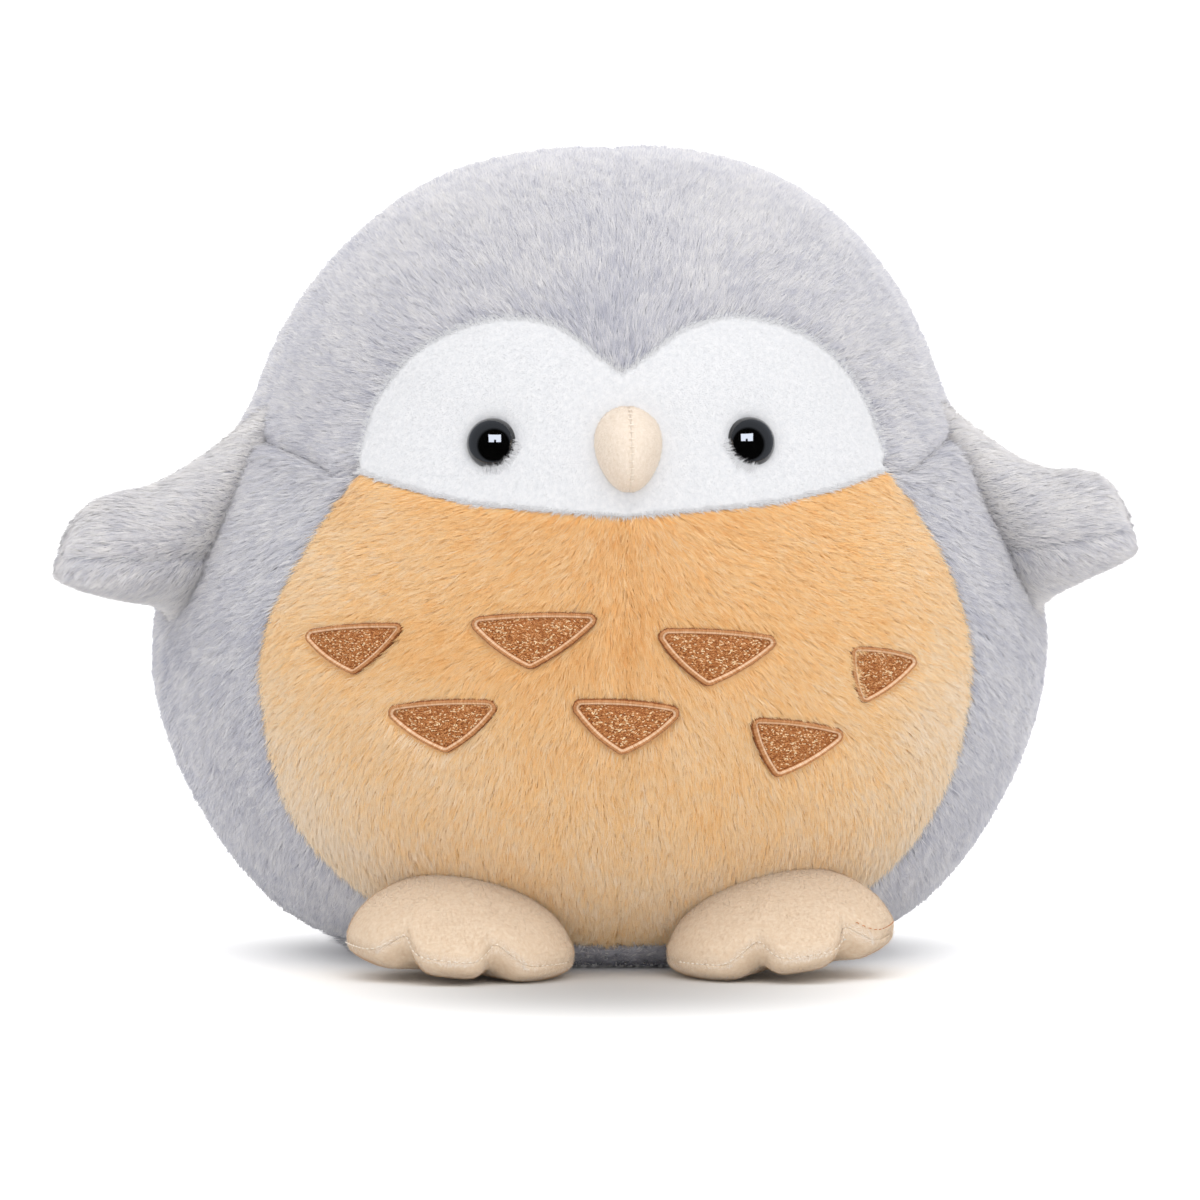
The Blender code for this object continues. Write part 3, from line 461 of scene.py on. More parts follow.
@dataclass(frozen=True)
class Seams:
    """The body's seams: pairs of across and height shares on the +X half, mirrored on the other."""

    step: float = 0.0022
    top: tuple = (0.0, 1.0)
    face_peak: tuple = (0.0, 0.753)
    face_corner: tuple = (0.74, 0.626)
    face_bottom: tuple = (0.0, 0.578)
    side_neck: tuple = (0.978, 0.655)
    base: float = 0.036
    belly_corner: tuple = (0.43, 0.036)
    # How much nearer to the middle the face's edge is sewn on the -X half, as a share, above this height
    tighter: float = 0.047
    tighter_above: float = 0.40
    side_base: tuple = (0.985, 0.036)
    face_top: tuple = (
        (0.067, 0.770),
        (0.215, 0.807),
        (0.395, 0.818),
        (0.57, 0.799),
        (0.69, 0.760),
        (0.75, 0.700),
    )
    face_low: tuple = ((0.35, 0.590), (0.55, 0.604))
    neck: tuple = ((0.79, 0.622), (0.87, 0.637))
    belly_edge: tuple = (
        (0.775, 0.515),
        (0.793, 0.445),
        (0.801, 0.38),
        (0.805, 0.31),
        (0.811, 0.235),
        (0.795, 0.165),
        (0.740, 0.11),
        (0.625, 0.068),
    )
    side_upper: tuple = ((0.985, 0.75), (0.985, 0.85), (0.985, 0.94))
    side_lower: tuple = ((0.972, 0.56), (0.975, 0.44), (0.985, 0.30), (0.985, 0.15))

    def through(self, *shares: tuple) -> Array:
        """Places along a seam through pairs of shares."""
        places = np.vstack([FORM.place_of(*share) for share in shares])
        return from_flat(spaced(to_flat(places, FlatMap.FRONT), 2 * self.step / FORM.width), FlatMap.FRONT)

    def straight(self, start: tuple, end: tuple) -> Array:
        """Places along a seam that runs level or upright from one place to another."""
        level = math.cos(start[1]) if start[1] == end[1] else 1.0
        length = math.hypot((end[0] - start[0]) * level, end[1] - start[1])
        count = max(2, round(length * FORM.width / 2 / self.step)) + 1
        return np.linspace(start, end, count)

    def sewn(self, side: Side, *shares: tuple) -> list[tuple]:
        """Pairs of shares as they are sewn on one half."""
        if side is Side.RIGHT:
            return list(shares)
        pull = [self.tighter * min(max((high - self.tighter_above) / 0.2, 0.0), 1.0) for _, high in shares]
        return [(across * (1 - much), high) for (across, high), much in zip(shares, pull)]

    def drawn(self, side: Side) -> dict[str, Array]:
        """Every seam of one half by name, as places."""
        base = float(FORM.latitude_at(self.base))
        peak, bottom = (float(FORM.latitude_at(share[1])) for share in (self.face_peak, self.face_bottom))
        belly, flank = (math.asin(share[0]) for share in (self.belly_corner, self.side_base))
        top, back = math.pi / 2, math.pi
        corner, *rest = self.sewn(
            side, self.face_corner, *self.face_top, *self.face_low, *self.neck, *self.belly_edge
        )
        face_top, face_low, neck, belly_edge = rest[:6], rest[6:8], rest[8:10], rest[10:]
        seams = {
            "crown_centre": self.straight((0.0, peak), (0.0, top)),
            "face_top": self.through(self.face_peak, *face_top, corner),
            "face_low": self.through(self.face_bottom, *face_low, corner),
            "neck": self.through(corner, *neck, self.side_neck),
            "side_upper": self.through(self.side_neck, *self.side_upper, self.top),
            "side_lower": self.through(self.side_neck, *self.side_lower, self.side_base),
            "belly_centre": self.straight((0.0, base), (0.0, bottom)),
            "belly_edge": self.through(corner, *belly_edge, self.belly_corner),
            "base_front": self.straight((0.0, base), (belly, base)),
            "base_side": self.straight((belly, base), (flank, base)),
            "base_back": self.straight((flank, base), (back, base)),
            "back_centre": self.straight((back, base), (back, top)),
        }
        return {name: places * (side.value, 1) for name, places in seams.items()}

    def outlines(self, side: Side) -> dict[str, Array]:
        """The closed outline of each panel of one half."""
        run = self.drawn(side)
        side_down = np.vstack((run["side_upper"][::-1][:-1], run["side_lower"]))
        return {
            "crown": loop_of(run["crown_centre"][::-1], run["face_top"], run["neck"], run["side_upper"]),
            "belly": loop_of(
                run["face_low"], run["belly_edge"], run["base_front"][::-1], run["belly_centre"]
            ),
            "side": loop_of(run["neck"], run["side_lower"], run["base_side"][::-1], run["belly_edge"][::-1]),
            "back": loop_of(side_down, run["base_back"], run["back_centre"]),
        }

    def face(self) -> Array:
        """The closed outline of the white face."""
        left, right = self.drawn(Side.LEFT), self.drawn(Side.RIGHT)
        return loop_of(right["face_top"], right["face_low"][::-1], left["face_low"], left["face_top"][::-1])

    def underside(self) -> Array:
        """The closed outline of the base."""
        halves = []
        for side in (Side.RIGHT, Side.LEFT):
            run = self.drawn(side)
            halves.append(np.vstack((run["base_front"][:-1], run["base_side"][:-1], run["base_back"])))
        return loop_of(halves[0], halves[1][::-1])


def loop_of(*runs: Array) -> Array:
    """One closed outline from seams that follow on from each other."""
    return np.vstack([run[:-1] for run in runs])


SEAMS = Seams()


# Fabric and its pile


@dataclass
class Sheet:
    """A fabric's outer surface as triangles, with each vertex's distance from the nearest seam."""

    points: Array
    faces: Array
    gap: Array

    @property
    def normals(self) -> Array:
        """The direction out of the fabric at each vertex."""
        corners = self.points[self.faces]
        across = np.cross(corners[:, 1] - corners[:, 0], corners[:, 2] - corners[:, 0])
        total = np.zeros_like(self.points)
        for corner in range(3):
            for axis in range(3):
                counted = np.bincount(self.faces[:, corner], across[:, axis], len(self.points))
                total[:, axis] += counted
        return unit(total)

    def without(self, dropped: Array) -> "Sheet":
        """The sheet without the triangles that have all three vertices among the dropped ones."""
        faces = self.faces[~dropped[self.faces].all(1)]
        used, faces = np.unique(faces, return_inverse=True)
        return Sheet(self.points[used], faces.reshape(-1, 3), self.gap[used])

    def scatter(self, density: float, chance: np.random.Generator) -> tuple[Array, Array, Array]:
        """Roots for fibres, spread evenly by chance.

        Args:
            density: Roots per square metre.
            chance: The seeded source of chance.

        Returns:
            The roots, the directions out of the fabric there and their distances from the nearest seam.
        """
        corners = self.points[self.faces]
        across = np.cross(corners[:, 1] - corners[:, 0], corners[:, 2] - corners[:, 0])
        wanted = np.linalg.norm(across, axis=1) / 2 * density
        which = np.repeat(np.arange(len(wanted)), np.floor(wanted + chance.random(len(wanted))).astype(int))
        near, far = np.sort(chance.random((2, len(which))), axis=0)
        weights = np.stack((near, far - near, 1 - far), 1)[..., None]
        picked = self.faces[which]
        roots = (self.points[picked] * weights).sum(1)
        outward = unit((self.normals[picked] * weights).sum(1))
        return roots, outward, (self.gap[picked] * weights[..., 0]).sum(1)


def lay_sheet(outline: Array, flat_map: FlatMap, lift: Callable[[Array, Array], Array], step: float) -> Sheet:
    """A sheet over an outline drawn on the body.

    Args:
        outline: The outline's places in order.
        flat_map: The map to fill it on.
        lift: Gives the height above the body from the skin's points and the distances from the seam.
        step: The size of its triangles in metres.

    Returns:
        The sheet, facing out of the body.
    """
    scale = FORM.width / 2
    edge = to_flat(outline, flat_map)
    pace = step / scale
    low, high = edge.min(0), edge.max(0)
    across, up = np.meshgrid(
        np.arange(low[0], high[0], pace), np.arange(low[1], high[1], pace * math.sqrt(0.75))
    )
    across[::2] += pace / 2
    inner = np.stack((across.ravel(), up.ravel()), 1)
    inner = inner[depth_inside(inner, edge) > 0.55 * pace]
    flat = np.vstack((edge, inner))
    around = list(range(len(edge)))
    found = delaunay_2d_cdt([Vector(point) for point in flat], [], [around], 1, 1e-9)
    flat = np.array([tuple(point) for point in found[0]])
    faces = np.array([list(face) for face in found[2]])
    gap = np.maximum(depth_inside(flat, edge), 0) * scale
    places = from_flat(flat, flat_map)
    skin, outward = FORM.skin(places), FORM.normal(places)
    points = skin + outward * lift(skin, gap)[:, None]
    corners = points[faces]
    across = np.cross(corners[:, 1] - corners[:, 0], corners[:, 2] - corners[:, 0])
    facing = (across * outward[faces[:, 0]]).sum(1)
    faces[facing < 0] = faces[facing < 0][:, ::-1]
    return Sheet(points, faces, gap)


def grid_sheet(points: Array, gap: Array, closed: bool) -> Sheet:
    """A sheet over a grid of points whose first row meets in one point.

    Args:
        points: Rows of points from the tip outwards.
        gap: The distance from the nearest seam for each.
        closed: Whether the last column runs on into the first.

    Returns:
        The sheet, with the first row's points made one.
    """
    rows, columns = points.shape[:2]
    number = np.arange(rows * columns).reshape(rows, columns)
    number[0] = number[0, 0]
    ahead = np.roll(number, -1, axis=1) if closed else number[:, 1:]
    behind = number if closed else number[:, :-1]
    quads = np.stack((behind[:-1], ahead[:-1], ahead[1:], behind[1:]), -1).reshape(-1, 4)
    faces = np.vstack((quads[:, [0, 2, 3]], quads[columns if closed else columns - 1 :][:, [0, 1, 2]]))
    return Sheet(points.reshape(-1, 3), faces, gap.ravel()).without(np.zeros(rows * columns, bool))


@dataclass(frozen=True)
class Pile:
    """How the fibres of a fabric grow.

    Attributes:
        density: Fibres per square millimetre.
        length: Their length in metres.
        width: Their width at the root in metres.
        rise: The share of its length that a fibre stands up from the fabric.
        tuft: The spacing of the tufts that their tips gather to, in metres.
        pull: How far a tip is drawn to its tuft, from 0 to 1.
        swirl: How far the tufts turn from the nap, in degrees.
        own: How far a fibre is shaded by its own face and not by the fabric's, from 0 to 1.
        turned: How far towards the back the fabric faces where fibres start to turn that way, from -1 to 1.
    """

    density: float
    length: float
    width: float
    rise: float = 0.5
    tuft: float = 0.0016
    pull: float = 0.65
    swirl: float = 22.0
    own: float = 0.0
    turned: float = 0.06

    def grow(self, name: str, sheet: Sheet, nap: Nap, look: "PileLook", seed: int) -> bpy.types.Object:
        """Grows the fibres over a sheet as one mesh.

        Args:
            name: The new object's name.
            sheet: The fabric that they are rooted in.
            nap: Gives the direction that they lean in at points, before it is laid along the fabric.
            look: Their shade, and where they are kept short or left out.
            seed: The seed for what is left to chance.

        Returns:
            The fibres.
        """
        chance = np.random.default_rng(seed)
        roots, outward, gap = sheet.scatter(self.density / MM**2, chance)
        lengths = look.trimmed(roots, gap) * self.length
        kept = lengths > 0
        roots, outward, gap, lengths = roots[kept], outward[kept], gap[kept], lengths[kept]
        tufts = Tufts(self.tuft, seed)
        middles, cells = tufts.nearest(roots)
        drawn = middles - roots
        drawn -= outward * (drawn * outward).sum(1, keepdims=True)
        lean = nap(roots)
        lean = unit(lean - outward * (lean * outward).sum(1, keepdims=True))
        uneven = Unevenness(seed)
        turn = np.radians(self.swirl) * (2 * tufts.chance(cells, 4) - 1 + 0.9 * uneven.at(roots, 0.009))
        turn += np.radians(7) * chance.standard_normal(len(roots))
        aside = np.cross(outward, lean)
        lean = lean * np.cos(turn)[:, None] + aside * np.sin(turn)[:, None]
        lengths *= (0.82 + 0.36 * tufts.chance(cells, 5)) * chance.uniform(0.78, 1.12, len(roots))
        rise = self.rise * (0.85 + 0.3 * tufts.chance(cells, 6)) * chance.uniform(0.75, 1.2, len(roots))
        rise = np.where(chance.random(len(roots)) < 0.08, rise * 1.35, rise)
        rise = np.clip(rise, 0.05, 0.97)
        flat_share = np.sqrt(1 - rise**2)
        reach = lean * (lengths * flat_share)[:, None]
        lift = outward * (lengths * rise)[:, None]
        tips = roots + reach + lift + drawn * self.pull
        spread = unit(np.cross(outward, tips - roots))
        # A fibre turns a little to the nearer of the toy's front and back, so few rims show fibres' backs
        backward = outward[:, 1] - self.turned + 0.05 * chance.standard_normal(len(roots))
        nearer = np.sign(backward * spread[:, 1])
        roll = -np.radians(22) * np.abs(chance.standard_normal(len(roots))) * nearer
        spread = spread * np.cos(roll)[:, None] + outward * np.sin(roll)[:, None]
        half = spread * (self.width / 2 * chance.uniform(0.75, 1.25, len(roots)))[:, None]
        shade = look.tone(roots, gap) + look.streak * (tufts.chance(cells, 7) - 0.5)
        patchy = look.streak * 0.25 * uneven.at(roots, 0.0045)
        shade += patchy + look.grain * chance.standard_normal(len(roots))
        shade = np.clip(shade, 0.03, 0.97)
        base = roots - outward * 0.0002
        rows = [base - half, base + half, tips]
        # Heights on the chart run from root to tip; the material darkens the low ones as painted shade at the
        # roots
        heights = (look.low, look.low, 0.97)
        points = np.stack(rows, 1)
        sides = np.array([-1, 1, 0]) * 0.007
        chart = np.stack((shade[:, None] + sides, np.broadcast_to(heights, points.shape[:2])), 2)
        points = points.reshape(-1, 3)
        points[:, 2] = np.maximum(points[:, 2], 0.0001)
        numbers = np.arange(len(base))[:, None, None] * len(rows) + np.array(((0, 2, 1),))
        shared = (1 - self.own) * np.clip(np.abs(outward[:, 1:2]) / 0.45, 0, 1)
        facing = outward * shared + unit(np.cross(tips - base, half)) * (1 - shared)
        facing = np.repeat(unit(facing + (0, 0, 0.2)), len(rows), axis=0)
        made = mesh_object(name, points, numbers.reshape(-1, 3), chart.reshape(-1, 2), facing)
        look.material.assign(made)
        log.info("%s: %d fibres", name, len(roots))
        return made


# Finishes


@dataclass(frozen=True)
class Finish:
    """A material and the slot of the record that it paints."""

    material: bpy.types.Material
    slot: str

    def assign(self, made: bpy.types.Object) -> None:
        """Gives a piece this finish."""
        made.data.materials.clear()
        made.data.materials.append(self.material)


@dataclass(frozen=True)
class Fibre:
    """Dyed polyester pile: each fibre has its own shade and is painted darker towards its root, as shade that
    gives depth.
    """

    name: str
    slot: str
    shades: tuple
    # The painted shade multiplied in at a fibre's root and halfway up; the tip keeps its own colour
    root: str = "D6D6D8"
    middle: str = "F8F8F8"
    roughness: float = 0.85
    sheen: float = 0.8

    def build(self) -> Finish:
        """Makes the material; the chart's width is the shade and its height runs from root to tip, painted
        darker towards the root as shade.
        """
        extras = {"Sheen_Weight": self.sheen, "Sheen_Roughness": 0.35, "Specular_IOR_Level": 0.25}
        material, shader = new_finish(self.name, self.roughness, **extras)
        tree = material.node_tree
        chart = add_node(tree, "ShaderNodeUVMap", uv_map=CHART)
        split = add_node(tree, "ShaderNodeSeparateXYZ", {"Vector": chart.outputs["UV"]})
        shade = add_node(tree, "ShaderNodeValToRGB", {"Fac": split.outputs["X"]})
        places = np.linspace(0.0, 1.0, len(self.shades))
        across = set_ramp(shade, list(zip(places.tolist(), self.shades)))
        # Painted shade: the colour darkens from the fibre's tip down to its root
        depth = add_node(tree, "ShaderNodeValToRGB", {"Fac": split.outputs["Y"]})
        upward = set_ramp(depth, ((0.0, self.root), (0.5, self.middle), (1.0, "FFFFFF")))
        mix = {"Factor": 1.0, 6: across, 7: upward}
        mixed_colour = add_node(tree, "ShaderNodeMix", mix, data_type="RGBA", blend_type="MULTIPLY")
        tree.links.new(mixed_colour.outputs[2], shader.inputs["Base Color"])
        return Finish(material, self.slot)


@dataclass(frozen=True)
class Knit:
    """The knitted backing under the pile: seen only as a dark ground between the fibres and in the seams."""

    name: str
    slot: str
    light: str
    dark: str
    stitch: float = 0.0012

    def build(self) -> Finish:
        """Makes the material, with the loops of the knit as a fine uneven pattern."""
        material, shader = new_finish(self.name, 0.95, Specular_IOR_Level=0.1)
        tree = material.node_tree
        place = add_node(tree, "ShaderNodeTexCoord")
        loops = {"Vector": place.outputs["Object"], "Scale": 1 / self.stitch, "Detail": 2.0}
        noise = add_node(tree, "ShaderNodeTexNoise", loops)
        ramp = add_node(tree, "ShaderNodeValToRGB", {"Fac": noise.outputs["Fac"]})
        colour = set_ramp(ramp, ((0.35, self.dark), (0.65, self.light)))
        tree.links.new(colour, shader.inputs["Base Color"])
        return Finish(material, self.slot)


@dataclass(frozen=True)
class Moulded:
    """Moulded plastic with a faint cloudiness: the polish of the eye, or the satin of the washer."""

    name: str
    slot: str
    light: str
    dark: str
    roughness: float
    coat: float = 0.0

    def build(self) -> Finish:
        """Makes the material."""
        extras = {"Coat_Weight": self.coat, "Coat_Roughness": 0.02}
        material, shader = new_finish(self.name, self.roughness, **extras)
        tree = material.node_tree
        place = add_node(tree, "ShaderNodeTexCoord")
        noise = add_node(tree, "ShaderNodeTexNoise", {"Vector": place.outputs["Object"], "Scale": 400.0})
        ramp = add_node(tree, "ShaderNodeValToRGB", {"Fac": noise.outputs["Fac"]})
        colour = set_ramp(ramp, ((0.3, self.dark), (0.7, self.light)))
        tree.links.new(colour, shader.inputs["Base Color"])
        return Finish(material, self.slot)


@dataclass
class Finishes:
    """Every finish of the toy."""

    # Silver-grey pile, a little blue at its roots and warm at its tips; its darkening towards each fibre's
    # root is painted shade
    grey_pile: Finish = field(init=False)
    grey_knit: Finish = field(init=False)
    tan_pile: Finish = field(init=False)
    tan_knit: Finish = field(init=False)
    white_pile: Finish = field(init=False)
    white_knit: Finish = field(init=False)
    peach_pile: Finish = field(init=False)
    peach_knit: Finish = field(init=False)
    peach_thread: Finish = field(init=False)
    # The beak's pile is paler than the feet's
    beak_pile: Finish = field(init=False)
    beak_knit: Finish = field(init=False)
    toe_thread: Finish = field(init=False)
    thread: Finish = field(init=False)
    satin: Finish = field(init=False)
    eye: Finish = field(init=False)
    washer: Finish = field(init=False)
    wadding: Finish = field(init=False)

    def __post_init__(self) -> None:
        """Builds them all."""
        grey = ("A8AABA", "C8C8D2", "DCDBE0", "ECEAEB", "F8F5F3")
        tan = ("F3B268", "FAC988", "FDD7A0", "FAE0BA", "FBECD8")
        white, peach = ("CFD1D4", "D7D8DA", "DEDEE0", "E5E5E5"), ("D2B292", "DFC6A9", "EBD9C4", "FFFAF4")
        self.grey_pile = Fibre("silver plush pile", "grey_plush", grey).build()
        self.grey_knit = Knit("silver plush backing", "grey_plush", "C4C4CC", "B4B4BE").build()
        self.tan_pile = Fibre("tan plush pile", "tan_plush", tan, "F1E3D2", "FCF8F4").build()
        self.tan_knit = Knit("tan plush backing", "tan_plush", "F0C28C", "E6B47C").build()
        self.white_pile = Fibre("white minky pile", "white_minky", white, "F0F1F3", "FBFBFC").build()
        self.white_knit = Knit("white minky backing", "white_minky", "E2E2E4", "DADBDE").build()
        self.peach_pile = Fibre("peach minky pile", "peach_minky", peach, "F0DCC8", "FBF5EE").build()
        self.peach_knit = Knit("peach minky backing", "peach_minky", "E6D3BC", "DEC8AE", 0.0009).build()
        pale = ("D8C7B2", "E1D4C2", "EAE1D5", "F3EEE8")
        self.beak_pile = Fibre("pale peach minky pile", "peach_minky", pale, "F0DCC8", "FBF5EE").build()
        self.beak_knit = Knit("pale peach minky backing", "peach_minky", "EFE2D4", "E8DACA", 0.0009).build()
        orange = ("C07C48", "D69A68")
        self.toe_thread = Fibre(
            "orange sewing thread", "peach_minky", orange, "D8C0A0", "F0E8E0", 0.6, 0.1
        ).build()
        self.peach_thread = Fibre(
            "pale sewing thread", "peach_minky", ("FAF0E2", "FFFAF2"), "F4EADC", "F0E8E0", 0.6, 0.1
        ).build()
        self.thread = Fibre(
            "brown embroidery thread",
            "brown_embroidery",
            ("98582C", "BC7A44", "DAA06A", "FDE6BE"),
            "A08A7A",
            "F6EEE6",
            0.5,
            0.1,
        ).build()
        self.satin = Fibre(
            "brown satin stitch",
            "satin_stitch",
            ("8A5028", "B87C4C", "D9A87C", "F6DCC0"),
            "B0A090",
            "F6EEE6",
            0.45,
            0.1,
        ).build()
        self.eye = Moulded(
            "polished black plastic", "black_gloss_plastic", "060606", "040404", 0.06, 1.0
        ).build()
        self.washer = Moulded("clear nylon washer", "washer_plastic", "E4E4E0", "D2D2CE", 0.35).build()
        self.wadding = Knit("polyester wadding", "polyester_fibre", "F4F4F2", "DCDCDA", 0.003).build()


@dataclass
class PileLook:
    """The shade of a fabric's pile, and where it is kept short.

    Attributes:
        material: The fibres' finish.
        tone: Their shade at roots, from 0 dark to 1 light, from the roots and their distances from a seam.
        streak: How much the shade differs from tuft to tuft.
        grain: How much it differs from fibre to fibre.
        trims: Each gives a fibre's length as a share, and 0 for none, from the roots and those distances.
        low: Where on the way from root to tip a fibre's colour starts, and so how much of the painted root
            shade it shows.
    """

    material: Finish
    tone: Tone
    streak: float = 0.3
    grain: float = 0.12
    trims: tuple = ()
    low: float = 0.03

    def trimmed(self, roots: Array, gap: Array) -> Array:
        """The share of its length that each fibre keeps."""
        share = np.ones(len(roots))
        for trim in self.trims:
            share *= trim(roots, gap)
        return share


def sew(name: str, nodes: Sequence[str], sheet: Sheet, finish: Finish, thickness: float) -> bpy.types.Object:
    """Makes a fabric panel from its outer surface.

    Args:
        name: The new piece's name.
        nodes: The CAD nodes that it stands for.
        sheet: Its outer surface.
        finish: Its finish.
        thickness: The fabric's thickness in metres.

    Returns:
        The closed panel.
    """
    made = mesh_object(name, sheet.points, sheet.faces)
    apply_modifier(made, "SOLIDIFY", thickness=thickness, offset=-1.0)
    finish.assign(made)
    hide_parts(*nodes)
    return made


# The toy's parts


STUFFING = Unevenness(7)
SHADING = Unevenness(19)


@dataclass
class Eyes:
    """Domed black eyes on shanks, set into the face; their washers stay as they are."""

    finishes: Finishes
    diameter: float = 0.0124
    dome: float = 0.0043
    rim: float = 0.001
    recess: float = 0.0009
    shank: float = 0.0045
    shank_end: float = -0.0086
    place: tuple = (0.37, 0.668)
    toe_in: float = 1.2

    def seats(self) -> list[tuple[Array, Array]]:
        """Each eye's origin on the face and its outward direction, the left one first."""
        place = FORM.place_of(*self.place)
        spots = [place * (side.value, 1) for side in Side]
        ahead = np.array((0.0, -self.toe_in, 0.0))
        return [(FORM.skin(spot)[0], unit(FORM.normal(spot)[0] + ahead)) for spot in spots]

    def dimples(self, points: Array) -> Array:
        """How far the face is drawn in round the eyes at points."""
        total = np.zeros(len(points))
        for origin, _ in self.seats():
            away = np.linalg.norm(points - origin, axis=1)
            total += 0.0019 * np.exp(-((away / 0.0062) ** 4)) + 0.0011 * np.exp(-((away / 0.0105) ** 2))
        return total

    def holes(self, points: Array, radius: float) -> Array:
        """Whether points lie within a radius of either eye's middle."""
        return np.min(
            [np.linalg.norm(points - origin, axis=1) for origin, _ in self.seats()], axis=0
        ) < radius

    def build(self) -> None:
        """Makes both eyes."""
        for side, (origin, outward) in zip(Side, self.seats()):
            bpy.ops.object.select_all(action="DESELECT")
            bpy.ops.mesh.primitive_uv_sphere_add(segments=64, ring_count=32, radius=self.diameter / 2)
            made = bpy.context.object
            made.name = made.data.name = f"eye_dome_{side.word}"
            bpy.ops.object.mode_set(mode="EDIT")
            bpy.ops.mesh.select_all(action="SELECT")
            bpy.ops.mesh.bisect(plane_co=(0, 0, 0), plane_no=(0, 0, 1), use_fill=True, clear_inner=True)
            rim_cut = {"value": (0, 0, -self.rim)}
            bpy.ops.mesh.extrude_region_move(TRANSFORM_OT_translate=rim_cut)
            bpy.ops.mesh.inset(thickness=(self.diameter - self.shank) / 2)
            down = self.shank_end + self.recess
            bpy.ops.mesh.extrude_region_move(TRANSFORM_OT_translate={"value": (0, 0, down)})
            bpy.ops.object.mode_set(mode="OBJECT")
            flat = Matrix.Diagonal((1, 1, 2 * self.dome / self.diameter, 1))
            upright = Vector(outward).to_track_quat("Z", "Y").to_matrix().to_4x4()
            seat = Matrix.Translation(Vector(origin)) @ upright
            raised = Matrix.Translation((0, 0, self.rim - self.recess))
            for vertex in made.data.vertices:
                local = flat @ vertex.co if vertex.co.z > 0 else vertex.co.copy()
                vertex.co = seat @ raised @ local
            made.data.shade_smooth()
            self.finishes.eye.assign(made)
            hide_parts(f"eye_{side.word}")
            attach(made, "torso")
            log.info("%s made", made.name)


